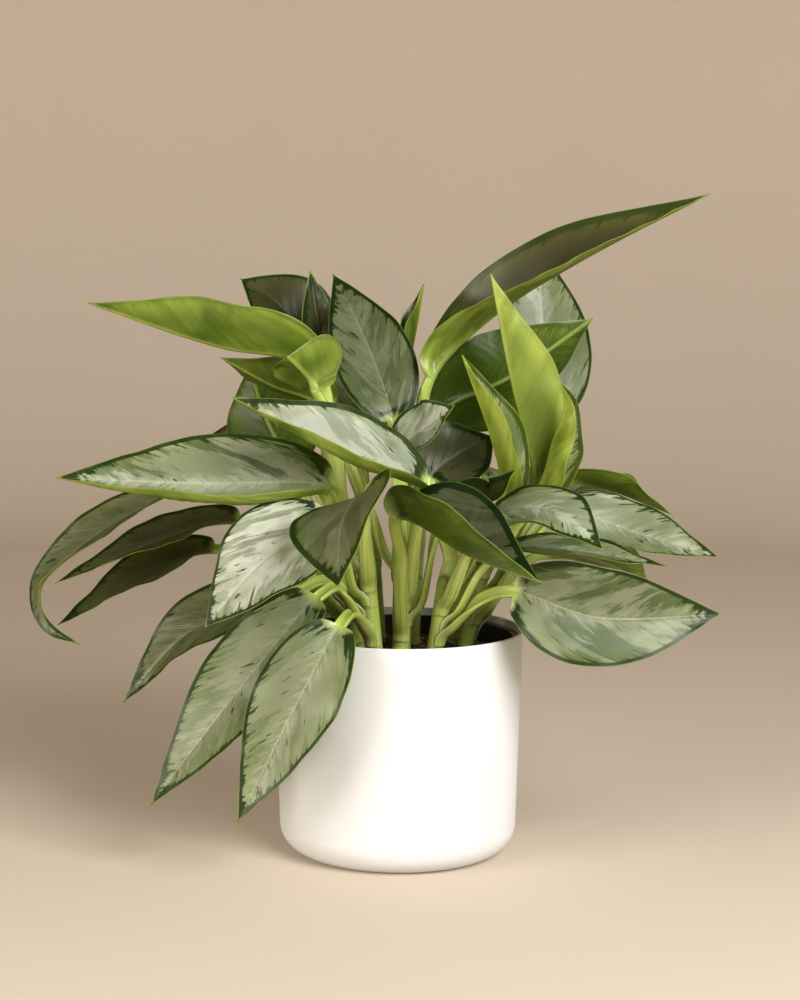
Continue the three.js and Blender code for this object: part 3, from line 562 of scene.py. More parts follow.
def leaf_paint():
    """Silver-grey blades with green blotches along the side veins, a ragged dark margin and pale ribs.

    It reads the attributes that leaf_attributes makes. Lengths in them are in millimetres.
    """
    p = Paint("leaf")
    along, across, edge = p.attribute("line")
    vein, outward, number = p.attribute("vein")
    upper, blade, sheath = p.attribute("part")
    # pale is each leaf's silveriness, which also paints in light and shade: lower where a leaf faces away
    # from the light
    pale, mottled, dark = p.attribute("look")
    # the middle number of reach is the leaf's youth, which also paints in light falling on the underside
    # and shining through
    reach, young, scar = p.attribute("reach")
    off_rib = across.size()

    def strokes(across_veins, along_veins, detail, roughness):
        """Noise drawn out along the side veins, from its turns in a millimetre each way."""
        place = p.vector(vein * across_veins, outward * along_veins, number)
        return p.noise(place, 1, detail, roughness)

    broad = strokes(0.03, 0.022, 2, 0.5)
    ragged = strokes(0.11, 0.06, 3, 0.6)
    fine = strokes(0.42, 0.13, 2, 0.6)
    dash = strokes(0.15, 0.075, 2, 0.5)
    wide = strokes(0.055, 0.012, 1, 0.5)
    cloud = p.noise(p.vector(along * 0.02, across * 0.028, number))
    sides = p.math("SINE", vein * (math.pi / VEIN_PITCH)).size()
    roughened = (ragged - 0.5) * 0.55 + (fine - 0.5) * 0.28

    # the upper side
    silver = p.mix(OLIVE, SILVER, (pale + (cloud - 0.5) * 0.2).smooth(-0.1, 0.5))
    silver = p.mix(silver, PALE_SILVER, (pale + (cloud - 0.5) * 1.9).smooth(0.45, 1.05))
    green = p.mix(OLIVE, MID_GREEN, pale.smooth(0, 0.45))
    near_rib = (off_rib * 0.012).least(0.12) - 0.1
    near_margin = edge.smooth(24, 7) * 0.1
    blotch = (broad + roughened + (near_rib + near_margin)).smooth(0.528, 0.588)
    haze = (cloud + roughened * 0.3).smooth(0.46, 0.6)
    streak = (fine - sides * 0.1).smooth(0.4, 0.56) * off_rib.smooth(15, 1)
    side_line = sides.smooth(0.12, 0.02) * off_rib.smooth(24, 4)
    foot = reach.smooth(0.3, 0.02)
    ends = reach.smooth(0.7, 1) + reach.smooth(0.16, 0)
    band = (roughened * 34.0 + 2.0 + ends * 4.0).most(0) * dark.range(0.5, 2.2)
    band = band + foot * dark.range(0, 9)
    margin = (edge - band).smooth(0.5, -0.5)
    margin = margin.most((edge - dark.range(1.5, 6.5)).smooth(0.5, -0.4))
    zone = (edge.smooth(16, 2) + ends).least(1)
    speck = (dash + (fine - 0.5) * 0.3 - (0.7 - zone * 0.125)).smooth(0, 0.018)
    rib = off_rib.smooth(1.3, 0.5) * reach.smooth(0.95, 0.55)
    torn = (scar + (ragged - 0.5) * 0.8).smooth(0.35, 0.55)
    above = p.coats(
        silver,
        (green, haze * (mottled * 0.6)),
        (green, blotch * mottled),
        (PALE_SILVER, streak * pale.smooth(0.1, 0.6) * 0.45),
        (MIDRIB_PALE, side_line * (pale * 0.4)),
        (DARK_STREAK, speck * 0.9),
        (DARK_GREEN, margin * 0.93),
        (EDGE_YELLOW, edge.smooth(0.7, 0.35)),
        (MIDRIB_PALE, rib * pale.range(0.08, 0.75)),
        (EDGE_YELLOW, reach.smooth(0.972, 0.992)),
        (SCAR_BROWN, torn * 0.85),
    )

    # the underside
    # painted light and age: each leaf's own number makes its underside paler, both on young leaves and on
    # lit ones
    tender_and_lit = p.mix(UNDER_GREEN, YOUNG_AND_LIT_GREEN, young)
    deep = p.mix(UNDER_DEEP, UNDER_GREEN, young)
    # painted shade: the underside darkens away from its margin, so that its margins look lit
    inner_shade = edge.smooth(5, 24)
    fold = sides.smooth(0.2, 0.02) * edge.smooth(2, 8)
    below = p.coats(
        deep,
        (tender_and_lit, (cloud + ragged * 0.12 + young * 0.1).smooth(0.38, 0.66)),
        (deep, wide.smooth(0.42, 0.62) * 0.34),
        (deep, inner_shade * 0.55),
        (UNDER_DEEP, margin.most(speck) * (1.0 - young) * 0.25),
        (UNDER_PALE, fold * 0.16),
        (UNDER_PALE, off_rib.smooth(3, 1) * 0.5),
        (EDGE_YELLOW, edge.smooth(0.9, 0.4)),
    )

    # the stalk and its sheath
    lengthwise = p.noise(p.vector(along * 0.01, across * 0.62, number), 1, 3, 0.6)
    slow = p.noise(p.vector(along * 0.025, across * 0.08, number))
    stalk = p.coats(
        STALK_DEEP,
        (STALK_GREEN, lengthwise.smooth(0.28, 0.5)),
        (STALK_PALE, lengthwise.smooth(0.52, 0.75) * 0.7),
        (STALK_PALE, slow.smooth(0.45, 0.75) * 0.5),
        (STALK_DEEP, along.smooth(-50, -8) * 0.5),
        (SHEATH_EDGE, sheath * edge.smooth(2.4, 0.2)),
    )

    colour = p.mix(stalk, p.mix(below, above, upper), blade)

    ridges = p.math("SINE", vein * (2 * math.pi / RIDGE_PITCH)) * 0.25
    height = (ridges + fine) * blade + (1.0 - blade) * (lengthwise * 1.6)
    rough = (fine * 0.4 + cloud * 0.6).range(0.25, 0.43)
    skin = p.surface(colour, rough, p.bump(height, 0.2, 0.0006), Specular_IOR_Level=0.55)

    # the light that comes through
    shaded = margin.most(speck * 0.8) * (1.0 - young * 0.8)
    glow = p.mix(colour, p.mix(GLOW, YOUNG_GLOW, young), blade * 0.8)
    # the same painted shade darkens the light that comes through, away from the margin
    glow = p.coats(glow, (UNDER_DEEP, shaded * 0.7), (UNDER_GREEN, inner_shade * blade * 0.55))
    through = p.node("BsdfTranslucent", {"Color": glow}).outputs[0]
    both = p.node("MixShader", {0: blade.range(0.06, 0.45), 1: skin, 2: through})
    return p.done(both.outputs[0])


def cover_paint():
    """Smooth matt off-white plastic with a very fine grain and faint rubs near the foot."""
    p = Paint("cover_pot")
    place = p.place()
    cloud = p.noise(place, 9.0, 3, 0.55)
    grain = p.noise(place, 900.0, 2, 0.6)
    height = p.parts(place)[2]
    foot = height.smooth(0.045, 0) * p.noise(place, 60.0, 4, 0.7).smooth(0.5, 0.75)
    colour = p.mix((0.61, 0.613, 0.615), (0.635, 0.638, 0.643), cloud)
    colour = p.mix(colour, (0.62, 0.585, 0.53), foot * 0.2)
    rough = (cloud * 0.6 + grain * 0.4).range(0.42, 0.6)
    return p.done(p.surface(colour, rough, p.bump(grain, 0.12, 0.0002), Specular_IOR_Level=0.4))


def nursery_paint():
    """Thin black moulded plastic with patches of dust."""
    p = Paint("nursery_pot")
    place = p.place()
    dust = p.noise(place, 30.0, 5, 0.7).smooth(0.48, 0.72)
    grain = p.noise(place, 500.0, 2, 0.5)
    colour = p.mix((0.012, 0.011, 0.0105), (0.055, 0.045, 0.036), dust * 0.6)
    normal = p.bump(grain, 0.15, 0.0002)
    return p.done(p.surface(colour, dust.range(0.36, 0.62), normal, Specular_IOR_Level=0.5))


def peat_paint():
    """Dark, fibrous peat with redder and paler crumbs."""
    p = Paint("peat")
    place = p.place()
    tone = p.noise(place, 140.0, 5, 0.7)
    crumb = p.node("TexVoronoi", {"Vector": place, "Scale": 420.0})
    fleck = p.node("SeparateColor", {"Color": crumb.outputs["Color"]}).outputs[0]
    colour = p.mix((0.038, 0.022, 0.015), (0.26, 0.15, 0.105), tone.smooth(0.36, 0.66))
    colour = p.mix(colour, (0.44, 0.29, 0.2), Value(p, fleck).smooth(0.75, 0.95) * 0.6)
    normal = p.bump(tone + Value(p, crumb.outputs["Distance"]) * 0.6, 0.7, 0.0012)
    return p.done(p.surface(colour, tone.range(0.8, 1), normal, Specular_IOR_Level=0.2))


def perlite_paint():
    p = Paint("perlite")
    tone = p.noise(p.place(), 700.0, 3, 0.6)
    colour = p.mix((0.52, 0.49, 0.44), (0.8, 0.78, 0.73), tone)
    return p.done(p.surface(colour, tone.range(0.8, 0.95), p.bump(tone, 0.5, 0.0004)))


def cane_paint():
    """Smooth green cane with brown blotches on the rings where leaves grew, browner towards the soil."""
    p = Paint("cane")
    along, around, ring = p.attribute("stem")
    streaks = p.noise(p.vector(along * 0.03, around * 2.4, 0.0), 1, 3, 0.6)
    blots = p.noise(p.place(), 160.0, 4, 0.65)
    colour = p.mix(STALK_DEEP, STALK_GREEN, streaks.smooth(0.32, 0.6))
    colour = p.mix(colour, STALK_PALE, streaks.smooth(0.55, 0.8) * 0.5)
    colour = p.mix(colour, SCAR_BROWN, ring * 0.5 * blots.smooth(0.46, 0.66))
    colour = p.mix(colour, SCAR_BROWN, along.smooth(12, -2) * blots.smooth(0.42, 0.68) * 0.7)
    normal = p.bump(streaks, 0.2, 0.0005)
    return p.done(p.surface(colour, blots.range(0.42, 0.62), normal, Specular_IOR_Level=0.4))


def stage_paint():
    p = Paint("stage")
    tone = p.noise(p.place(), 3.0, 2, 0.5)
    colour = p.mix((0.545, 0.476, 0.4), (0.565, 0.494, 0.416), tone)
    return p.done(p.surface(colour, 0.9, Specular_IOR_Level=0.1, Emission_Color=(0.62, 0.53, 0.43, 1.0),
                            Emission_Strength=0.1))


# ---- Leaves ----

def cane_axis(cane):
    return unit(np.array([*cane.lean, 1.0]))


def footing(cane, level, leaf):
    """Where a leaf's foot stands on its cane, and the way out from the cane there."""
    axis = cane_axis(cane)
    centre = np.array([*cane.foot, SOIL_HEIGHT]) + axis * level
    out = np.array([*leaf.side, 0.0]) if leaf.side else np.array(leaf.blade[0]) - centre
    out = unit(out - axis * np.dot(out, axis))
    return centre + out * (cane.radius + SHEATH_CLEARANCE), out, axis


def smooth_curve(knots):
    """A centripetal Catmull-Rom curve through the knots, as points at even steps between them."""
    padded = np.vstack([2 * knots[0] - knots[1], knots, 2 * knots[-1] - knots[-2]])
    spans = np.linalg.norm(np.diff(padded, axis=0), axis=1) ** 0.5
    t = np.arange(STEPS_PER_KNOT)[:, None] / STEPS_PER_KNOT
    points = []
    for i in range(len(knots) - 1):
        p0, p1, p2, p3 = padded[i:i + 4]
        d0, d1, d2 = spans[i:i + 3]
        start = ((p1 - p0) / d0 - (p2 - p0) / (d0 + d1) + (p2 - p1) / d1) * d1
        end = ((p2 - p1) / d1 - (p3 - p1) / (d1 + d2) + (p3 - p2) / d2) * d1
        bend = 3 * (p2 - p1) - 2 * start - end
        points.append(p1 + start * t + bend * t ** 2 + (2 * (p1 - p2) + start + end) * t ** 3)
    return np.vstack([*points, knots[-1:]])


def centre_line(leaf, cane, level, clasp):
    """The line of stalk and midrib: its points, their lengths along it and where the blade begins."""
    blade = np.array(leaf.blade, float)
    foot, out, axis = footing(cane, level, leaf)
    top = foot + axis * clasp
    shoulder = top + out * SHOULDER_OUT + axis * SHOULDER_UP
    middle = blend(top, blade[0], 0.5) + axis * leaf.rise
    points = smooth_curve(np.vstack([foot, top, shoulder, middle, blade]))
    lengths = np.concatenate([[0], np.cumsum(np.linalg.norm(np.diff(points, axis=0), axis=1))])
    return points, lengths, lengths[KNOTS_BEFORE_BLADE * STEPS_PER_KNOT], out


def outline(u):
    """Half width of a blade from base to tip, as a share of its widest."""
    widest = BROADENING / (BROADENING + TAPERING)
    return (u / widest) ** BROADENING * ((1 - u) / (1 - widest)) ** TAPERING


def sections(leaf, cane, line, clasp):
    """What shapes a leaf's sections, as arrays with a row for each station along it."""
    points, lengths, base_at, out = line
    total = lengths[-1]
    stations = np.concatenate([
        np.linspace(0, clasp, SHEATH_STATIONS, endpoint=False),
        np.linspace(clasp, base_at, STALK_STATIONS, endpoint=False),
        blend(base_at, total, np.linspace(0, 1, BLADE_STATIONS) ** STATION_CROWDING),
    ])
    on_stalk = stations < base_at - 1e-6
    share = np.clip((stations - clasp) / (base_at - clasp), 0, 1)
    u = np.clip((stations - base_at) / (total - base_at), 0, 1)
    clasping = 1 - ease(share / SHEATH_END)
    foot = blend(FOOT_THINNING, 1, ease(stations / clasp))
    opened = ease(u / OPENING_END)

    def at_stations(rows):
        return np.stack([np.interp(stations, lengths, rows[:, k]) for k in range(3)], 1)

    face = unit(np.array(leaf.face, float))
    tip_face = unit(np.array(leaf.tip_face or leaf.face, float))
    face = np.where(
        on_stalk[:, None],
        blend(-out, face, ease(share)[:, None]),
        blend(face, tip_face, ease(u / TWIST_END)[:, None]),
    )
    least = blend(STALK_HALF_WIDTH, TIP_HALF_WIDTH, ease(u / NARROWING_END))
    half_blade = np.maximum(leaf.width / 2 * outline(u), least)
    half = np.where(on_stalk, blend(STALK_HALF_WIDTH, SHEATH_HALF_WIDTH, clasping), half_blade)
    stalk_curl = blend(STALK_CURL, half / (cane.radius + SHEATH_CLEARANCE), clasping)
    ripple = EDGE_RIPPLE * np.sin(math.pi * u)
    curls = [np.where(on_stalk, stalk_curl, blend(STALK_CURL, curl, opened)) for curl in pair(leaf.curl)]
    rib = blend(STALK_THICKNESS, MIDRIB_THICKNESS, ease(u / THICK_RIB_END))
    rib = blend(rib, PLATE_THICKNESS, ease((u - RIB_FADE) / (1 - RIB_FADE)))
    return SimpleNamespace(
        u=u, face=face, half=half, rib=rib, opened=opened, clasping=clasping,
        place=at_stations(points),
        along=unit(at_stations(np.gradient(points, lengths, axis=0))),
        fold=[angle * opened for angle in pair(leaf.fold)],
        curl=[np.where(abs(curl) < STRAIGHT, STRAIGHT, curl) for curl in curls],
        wave=[ripple * np.sin(u * k + s) for k, s in zip(RIPPLE_TURNS, RIPPLE_STARTS)],
        sweep=LOBE_LENGTH * min(leaf.width / LOBED_WIDTH, 1) * (1 - u) ** LOBE_FADE * opened,
        stalk_thickness=blend(STALK_THICKNESS, SHEATH_THICKNESS, clasping) * foot,
        length=stations - base_at,
    )


def places_across():
    """Places across a section from -1 to 1, closer together at the midrib and at the margins."""
    t = np.linspace(0, 1, HALF_SECTION + 1)
    share = t - SECTION_CROWDING * np.sin(2 * math.pi * t) / (2 * math.pi)
    return np.concatenate([-share[:0:-1], share])


def swept_length(length, across, half, sweep):
    """How far each place lies along the blade, where the lobes beside the stalk sweep back."""
    return length[:, None] - sweep[:, None] * (across / half[:, None]) ** 2


def margin_distance(length, across, half, sweep):
    """Distance of each place on the flattened blade from the nearest point of its margin."""
    fine = np.linspace(0, len(half) - 1, MARGIN_STEPS * len(half))
    rows = np.arange(len(half))
    edge_across = np.interp(fine, rows, half)
    edge_along = np.interp(fine, rows, length - sweep)
    gap = np.hypot(swept_length(length, across, half, sweep)[..., None] - edge_along,
                   abs(across)[..., None] - edge_across)
    return gap.min(axis=-1)


def leaf_mesh(leaf, cane, level, clasp, number):
    """Points, faces and attributes of a whole leaf: sheath, stalk and blade in one closed skin."""
    s = sections(leaf, cane, centre_line(leaf, cane, level, clasp), clasp)
    ways = places_across()[None, :]
    share = abs(ways)
    half, sweep, stalk_thickness, rib, opened, clasping, u = (
        rows[:, None] for rows in (s.half, s.sweep, s.stalk_thickness, s.rib, s.opened, s.clasping, s.u)
    )
    fold, curl, wave = (
        np.where(ways < 0, left[:, None], right[:, None]) for left, right in (s.fold, s.curl, s.wave)
    )
    end = fold + curl * share
    reach = half / curl * (np.sin(end) - np.sin(fold))
    lift = half / curl * (np.cos(fold) - np.cos(end)) + wave * share ** 2
    lift = lift + np.sin(fold) * half * (np.sqrt(share ** 2 + CREASE ** 2) - share)

    across = ways * half
    lines = (s.length, across, s.half, s.sweep)
    swept = swept_length(*lines)
    on_blade = s.length >= -1e-6
    edge = np.full(across.shape, OFF_THE_BLADE)
    edge[on_blade] = margin_distance(*(values[on_blade] for values in lines))
    edge = blend(half - abs(across) + OFF_THE_SHEATH * (1 - clasping), edge, opened)
    vein = swept - VEIN_SLOPE * abs(across) - VEIN_BEND * across ** 2

    pleat = -VEIN_RELIEF * np.cos(2 * math.pi * vein / VEIN_PITCH)
    pleat = pleat * ease(abs(across) / PLEAT_STARTS) * ease(edge / PLEAT_ENDS) * opened
    phase = number * PHASE_STEP
    dimple = np.sin(swept * DIMPLE_ALONG[0] + phase) * np.sin(across * DIMPLE_ACROSS[0] + 2 * phase)
    dimple = dimple + 0.6 * np.sin(swept * DIMPLE_ALONG[1] - across * DIMPLE_ACROSS[1] + 3 * phase)
    dimple = DIMPLE * dimple * opened * ease(abs(across) / DIMPLE_STARTS)
    flutter = FLUTTER * np.sin(swept * FLUTTER_ALONG + 5 * phase) * share ** 6 * opened
    relief = pleat + dimple * (1 - u ** 6) + flutter
    groove = GROOVE_DEPTH * np.exp(-(across / GROOVE_WIDTH) ** 2) * opened
    groove = groove * (1 - ease((u - GROOVE_FADE) / (1 - GROOVE_FADE)))

    stalk_thick = stalk_thickness * np.sqrt(1 - (STALK_ROUNDNESS * share) ** 2)
    rib_width = blend(*RIB_WIDTHS, u)
    blade_thick = blend(PLATE_THICKNESS, MARGIN_THICKNESS, share ** 4)
    blade_thick = blade_thick + (rib - PLATE_THICKNESS) * np.exp(-(across / rib_width) ** 2)
    thick = blend(stalk_thick, blade_thick, opened)
    thick = thick * blend(1, TIP_THINNING, ease((u - TIP_START) / (1 - TIP_START)))

    along = s.along
    up = unit(s.face - along * dot(s.face, along))
    right = np.cross(along, up)
    tilt = end * ease(share / TILT_START)
    signed = np.sign(ways)[..., None]
    up, right, along = up[:, None, :], right[:, None, :], along[:, None, :]
    normal = up * np.cos(tilt)[..., None] - right * signed * np.sin(tilt)[..., None]
    middle = s.place[:, None, :] + right * signed * reach[..., None] + up * lift[..., None]
    middle = middle - along * (sweep * share ** 2)[..., None] + normal * relief[..., None]
    above = middle - normal * groove[..., None]
    below = middle - normal * thick[..., None]

    points = np.concatenate([above, below[:, ::-1]], axis=1)
    attributes = leaf_attributes(leaf, s, swept, across, edge, vein, number)
    return points.reshape(-1, 3), skin_faces(*points.shape[:2]), attributes


def leaf_attributes(leaf, s, swept, across, edge, vein, number):
    """The numbers that the leaf paint reads, for the upper side and then for the underside.

    line is (along the midrib from the blade's base, across from it, distance from the margin), vein is
    (across the side veins, along them, the leaf's own shift), part is (upper side, blade, sheath), look is
    the leaf's own, with painted light and shade in its silveriness, and reach is (from 0 at the blade's
    base to 1 at its tip, youth together with painted light on the underside, scar).
    """
    def stacked(*values):
        grid = np.stack([np.broadcast_to(value, across.shape) for value in values], axis=-1)
        return np.concatenate([grid, grid[:, ::-1]], axis=1)

    part = stacked(1.0, s.opened[:, None], s.clasping[:, None])
    part[:, across.shape[1]:, 0] = 0
    return {
        "line": stacked(swept, across, edge),
        "vein": stacked(vein, across, number * PATTERN_SHIFT),
        "part": part,
        "look": stacked(*leaf.look),
        "reach": stacked(s.u[:, None], leaf.young, scar_depth(leaf, swept, across)),
    }


def scar_depth(leaf, swept, across):
    """1 in the middle of a leaf's old brown scar, falling to 0 around it."""
    if not leaf.scar:
        return 0 * across
    along_at, across_at, length, width = leaf.scar
    return np.exp(-((swept - along_at) / length) ** 2 - ((across - across_at) / width) ** 2)


def skin_faces(rings, size):
    """Faces of a closed skin over rings of points, each seen anticlockwise from the far end."""
    faces = ring_faces(rings, size)
    last = (rings - 1) * size
    for i in range(size // 2 - 1):
        a, b, c, d = i, i + 1, size - 2 - i, size - 1 - i
        faces.append((a, d, c, b))
        faces.append((last + a, last + b, last + c, last + d))
    return faces


def leaf_level(cane, order):
    return FIRST_LEAF_LEVEL + (cane.height - FIRST_LEAF_LEVEL) * order / len(cane.leaves)


def make_leaves(material):
    number = 0
    for c, cane in enumerate(CANES, 1):
        clasp = leaf_level(cane, 1) - leaf_level(cane, 0) - SHEATH_SPACING
        for order, leaf in enumerate(cane.leaves):
            number += 1
            name = f"leaf_{c}_{order + 1}"
            points, faces, attributes = leaf_mesh(leaf, cane, leaf_level(cane, order), clasp, number)
            piece = mesh_piece(f"{name}_blade", points, faces, material, attributes)
            finish_piece(piece, "leaf", name)


# ---- Canes ----

def leant(points, cane):
    """Points made about +Z, leant over as the cane leans."""
    turn = Vector((0, 0, 1)).rotation_difference(Vector(cane_axis(cane))).to_matrix()
    return points @ np.array(turn).T


def make_canes(material):
    """Canes with a raised ring at each leaf's foot, finer than the solids but on the same lines."""
    for number, cane in enumerate(CANES, 1):
        bevel_in, bevel_down = CANE_TIP_BEVEL
        top = cane.height - CANE_TIP_DROP
        levels = np.linspace(-CANE_DEPTH, top - bevel_down, CANE_STATIONS)
        feet = [leaf_level(cane, order) - RING_DROP for order in range(len(cane.leaves))]
        ring = sum(np.exp(-((levels - scar) / RING_SPREAD) ** 2) for scar in [CANE_SCAR_LEVEL] + feet)
        swell = CANE_SCAR_SWELL * np.exp(-((levels - CANE_SCAR_LEVEL) / SWELL_SPREAD) ** 2)
        radii = cane.radius + swell + RING_HEIGHT * ring - CANE_INSET
        profile = [(0, levels[0]), *zip(radii, levels)]
        profile += arc(cane.radius - bevel_in, top - bevel_down, bevel_in, 0, QUARTER, 5)[1:]
        profile.append((0, top + CANE_DOME))
        points, faces = turned(profile, CANE_SIDES)
        along = points[:, 2].copy()
        around = np.arctan2(points[:, 1], points[:, 0]) * cane.radius
        rings = np.interp(along, levels, np.clip(ring, 0, 1))
        points = leant(points, cane) + np.array([*cane.foot, SOIL_HEIGHT])
        stem = {"stem": np.stack([along, around, rings], 1)}
        name = f"cane_{number}"
        finish_piece(mesh_piece(f"{name}_stem", points, faces, material, stem), "cane", name)


# ---- Pots ----

def cover_radius(height):
    return blend(COVER_FOOT_RADIUS, COVER_RIM_RADIUS, height / COVER_HEIGHT)


def make_cover_pot(material):
    lip = COVER_WALL / 2
    corner_x = cover_radius(COVER_CORNER) - COVER_CORNER
    profile = densified([
        (0, 0),
        *arc(corner_x, COVER_CORNER, COVER_CORNER, -QUARTER, 0, CORNER_STEPS),
        *arc(COVER_RIM_RADIUS - lip, COVER_HEIGHT - lip, lip, 0, math.pi, 10),
        *arc(corner_x, COVER_CORNER, COVER_CORNER - COVER_WALL, 0, -QUARTER, CORNER_STEPS),
        (0, COVER_WALL),
    ], PROFILE_STEPS[0])
    finish_piece(mesh_piece("cover_pot_shell", *turned(profile), material), "cover_pot", "cover_pot")


def nursery_radius(height):
    return blend(NURSERY_FOOT_RADIUS, NURSERY_TOP_RADIUS, height / NURSERY_RIM_HEIGHT)


def make_nursery_pot(material):
    bottom = COVER_WALL + GAP
    foot = nursery_radius(bottom) - NURSERY_BEVEL
    wall_foot = bottom + NURSERY_BEVEL
    lip_foot = NURSERY_RIM_HEIGHT - NURSERY_LIP_DEPTH
    roll = 1.0
    profile = densified([
        (0, bottom),
        (foot, bottom),
        (nursery_radius(wall_foot), wall_foot),
        # the corner under the lip, and the lip's lower edge, slightly rounded
        (nursery_radius(lip_foot) - 0.2, lip_foot - 1.2),
        (nursery_radius(lip_foot), lip_foot - 0.1),
        (NURSERY_LIP_RADIUS - 1.1, lip_foot),
        (NURSERY_LIP_RADIUS - 0.8, lip_foot + 0.4),
        *arc(NURSERY_LIP_RADIUS - roll, NURSERY_RIM_HEIGHT - roll, roll, 0, QUARTER, LIP_STEPS),
        *arc(NURSERY_TOP_RADIUS, NURSERY_RIM_HEIGHT - roll, roll, QUARTER, 2 * QUARTER, LIP_STEPS),
        (NURSERY_TOP_RADIUS - NURSERY_WALL, NURSERY_RIM_HEIGHT - 5),
        (nursery_radius(wall_foot) - NURSERY_WALL, wall_foot + NURSERY_WALL),
        (foot - NURSERY_WALL, bottom + NURSERY_WALL),
        (0, bottom + NURSERY_WALL),
    ], PROFILE_STEPS[1])
    pot = mesh_piece("nursery_pot_shell", *turned(profile), material)
    tube, tube_faces = cutting_tube(DRAIN_HOLE_RADIUS, -CUT_REACH, CUT_REACH, HOLE_SIDES)
    centres = arc(0, 0, DRAIN_CIRCLE_RADIUS, 0, 2 * math.pi, DRAIN_HOLES)[:-1]
    subtract(pot, [(tube + np.array([x, y, bottom]), tube_faces) for x, y in centres])
    finish_piece(pot, "nursery_pot", "nursery_pot")


# ---- Soil ----

def soil_height(x, y):
    """The height of the soil's lumpy top, in millimetres."""
    out = np.hypot(x, y) / NURSERY_TOP_RADIUS
    large = SOIL_LUMP * np.sin(x * 0.21 + 1) * np.sin(y * 0.19)
    small = SMALL_LUMP * np.sin(x * 0.37 - y * 0.31)
    return SOIL_HEIGHT - SOIL_EDGE_DROP * out ** 2 + large + small


def crumble(x, y):
    """Fine unevenness of the peat."""
    return sum(height * noise.noise(Vector((x * scale, y * scale, at))) for scale, at, height in CRUMBLES)


def make_soil(material):
    bottom = COVER_WALL + GAP + NURSERY_WALL + GAP
    wall_foot = bottom + SOIL_BEVEL
    edge = SOIL_HEIGHT - SOIL_EDGE_DROP

    def inside(height):
        return nursery_radius(height) - NURSERY_WALL - 2 * GAP

    rim = inside(edge)
    radii = np.linspace(rim, 0, SOIL_RINGS)[:-1]
    bevel_start = inside(bottom) - SOIL_BEVEL
    sides = [(0, bottom), (bevel_start, bottom), (inside(wall_foot), wall_foot), (rim, edge - 2)]
    profile = densified(sides, PROFILE_STEPS[2])
    profile += [(r, SOIL_HEIGHT) for r in radii] + [(0, SOIL_HEIGHT)]
    points, faces = turned(profile)
    for point in points:
        if point[2] > edge - 1:
            x, y = point[:2]
            settle = ease((rim - math.hypot(x, y)) / SETTLED_RIM)
            point[2] = soil_height(x, y) + settle * crumble(x, y)
    soil = mesh_piece("soil_bed", points, faces, material)
    holes = []
    for cane in CANES:
        radius = cane.radius + CANE_SCAR_SWELL + GAP
        tube, tube_faces = cutting_tube(radius, -CANE_DEPTH, CANE_HOLE_TOP, CANE_SIDES)
        holes.append((leant(tube, cane) + np.array([*cane.foot, SOIL_HEIGHT - GAP]), tube_faces))
    subtract(soil, holes)
    finish_piece(soil, "soil", "soil")


def ball_corners():
    """The twelve corners of the ball that crumbs are made from. Its edges are 2 long."""
    golden = (1 + 5 ** 0.5) / 2
    corners = []
    for a in (-1, 1):
        for b in (-golden, golden):
            corners += [(0, a, b), (a, b, 0), (b, 0, a)]
    return np.array(corners, float)


def ball_faces():
    """The twenty faces of that ball, seen anticlockwise from outside."""
    corners = ball_corners()
    just_over_an_edge = 2.1
    faces = []
    for i, j, k in combinations(range(len(corners)), 3):
        a, b, c = corners[i], corners[j], corners[k]
        if max(math.dist(a, b), math.dist(b, c), math.dist(c, a)) < just_over_an_edge:
            faces.append((i, j, k) if np.dot(np.cross(b - a, c - a), a) > 0 else (i, k, j))
    return faces


def crumb_shape(rng, size):
    """A small lump with uneven corners: the ball, stretched and with its corners pushed in and out."""
    corners = unit(ball_corners())
    stretch = rng.uniform(*CRUMB_STRETCH, 3)
    push = rng.uniform(*CRUMB_PUSH, (len(corners), 1))
    return corners * push * stretch * size


def make_crumbs(name, slot, count, sizes, seed, material):
    """Loose crumbs lying half sunk in the soil's top, clear of the canes."""
    rng = np.random.default_rng(seed)
    shape_faces = ball_faces()
    rim = nursery_radius(SOIL_HEIGHT) - NURSERY_WALL - CRUMB_RIM_GAP
    points, faces = [], []
    while len(points) < count:
        radius = rim * math.sqrt(rng.uniform())
        angle = rng.uniform(0, 2 * math.pi)
        x, y = radius * math.cos(angle), radius * math.sin(angle)
        size = rng.uniform(*sizes)
        if any(math.dist((x, y), cane.foot) < cane.radius + CRUMB_CLEARANCE + size for cane in CANES):
            continue
        lump = crumb_shape(rng, size) + np.array([x, y, soil_height(x, y) + CRUMB_RISE * size])
        faces += [tuple(v + len(lump) * len(points) for v in face) for face in shape_faces]
        points.append(lump)
    finish_piece(mesh_piece(name, np.vstack(points), faces, material), slot)


# ---- Stage, lights and camera ----

def make_stage(material):
    """A pale floor that curves up into a round backdrop, the same from every side."""
    floor_radius, bend, wall_height = 2.3, 1.0, 4.0
    profile = [(0.02, 0), (1.0, 0), (floor_radius, 0)]
    profile += arc(floor_radius, bend, bend, -QUARTER, 0, 24)[1:]
    profile.append((floor_radius + bend, wall_height))
    sides = 160
    angles = np.linspace(0, 2 * math.pi, sides, endpoint=False)
    points = [(r * math.cos(a), r * math.sin(a), z) for r, z in profile for a in angles]
    faces = [tuple(range(sides))] + ring_faces(len(profile), sides)
    new_object("floor", new_mesh("floor", points, faces, material))


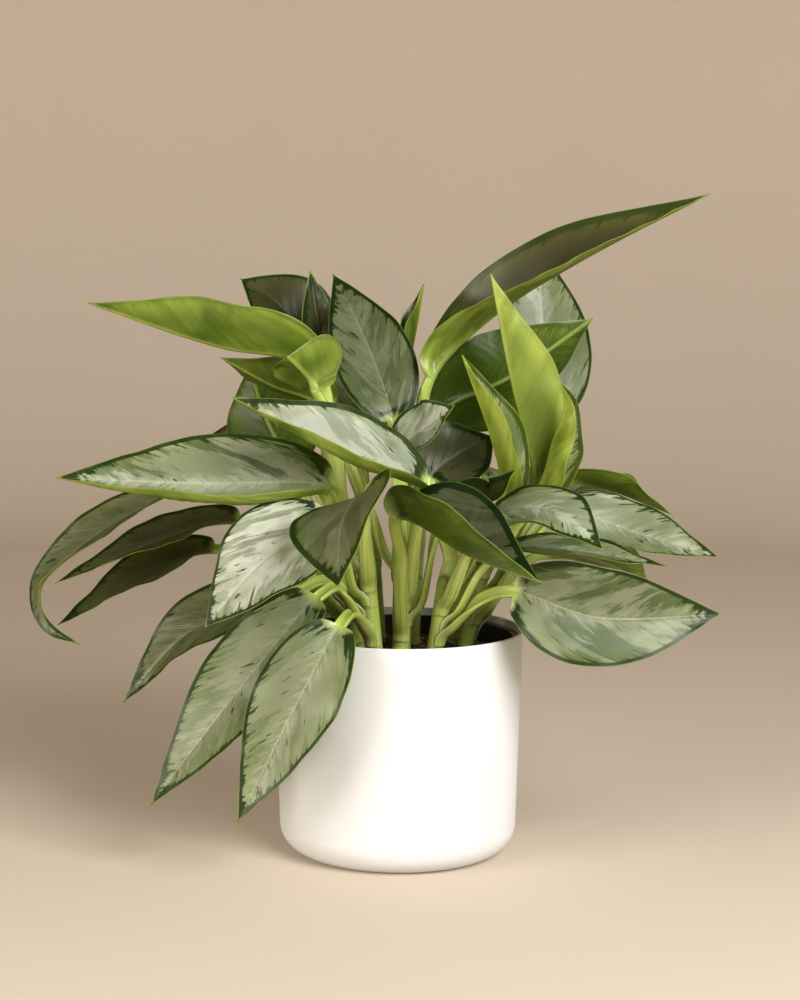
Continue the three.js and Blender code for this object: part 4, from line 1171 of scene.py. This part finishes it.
def soft_light(name, position, target, size, power, colour):
    data = bpy.data.lights.new(name, "AREA")
    data.shape = "RECTANGLE"
    data.size, data.size_y = size
    data.energy = power
    data.color = colour
    lamp = new_object(name, data)
    lamp.location = position
    lamp.rotation_euler = (Vector(target) - Vector(position)).to_track_quat("-Z", "Y").to_euler()
    lamp.visible_camera = False


def make_lights():
    soft_light("key", (1.42, -2.12, 1.60), (0, 0, 0.35), (1.7, 1.7), 108, (1.0, 1.0, 0.985))
    soft_light("fill", (-1.9, -1.6, 0.75), (0, 0, 0.3), (1.4, 0.9), 36, (1.0, 0.945, 0.87))
    world = bpy.data.worlds.new("studio")
    world.use_nodes = True
    sky = world.node_tree.nodes["Background"]
    sky.inputs["Color"].default_value = (1.0, 0.97, 0.92, 1.0)
    sky.inputs["Strength"].default_value = 0.035
    bpy.context.scene.world = world


CAMERA_PLACE = (-0.88, -2300, 629.5)
CAMERA_PITCH = 6.8028  # degrees below level
CAMERA_ROLL = 0.6061  # degrees, anticlockwise as seen from behind the camera
CAMERA_FOCUS = 2323.3  # focal length, in pixels of an image 1000 high
IMAGE_HEIGHT = 1000
SENSOR_HEIGHT = 36


def make_camera():
    data = bpy.data.cameras.new("camera")
    data.sensor_fit = "VERTICAL"
    data.sensor_height = SENSOR_HEIGHT
    data.lens = CAMERA_FOCUS / IMAGE_HEIGHT * SENSOR_HEIGHT
    data.clip_end = 50
    camera = new_object("camera", data)
    pitch = Matrix.Rotation(math.radians(90 - CAMERA_PITCH), 4, "X")
    roll = Matrix.Rotation(math.radians(CAMERA_ROLL), 4, "Z")
    camera.matrix_world = Matrix.Translation(Vector(CAMERA_PLACE) * METRES) @ pitch @ roll
    bpy.context.scene.camera = camera


# ---- The scene ----

make_camera()
make_lights()
make_stage(stage_paint())
make_cover_pot(cover_paint())
make_nursery_pot(nursery_paint())
peat = peat_paint()
make_soil(peat)
make_crumbs("soil_crumbs", "soil", 900, (0.6, 2.6), 11, peat)
make_crumbs("soil_perlite", "soil", 14, (0.8, 1.5), 12, perlite_paint())
make_canes(cane_paint())
make_leaves(leaf_paint())

view = bpy.context.scene.view_settings
view.view_transform = "Standard"
view.look = "Medium High Contrast"
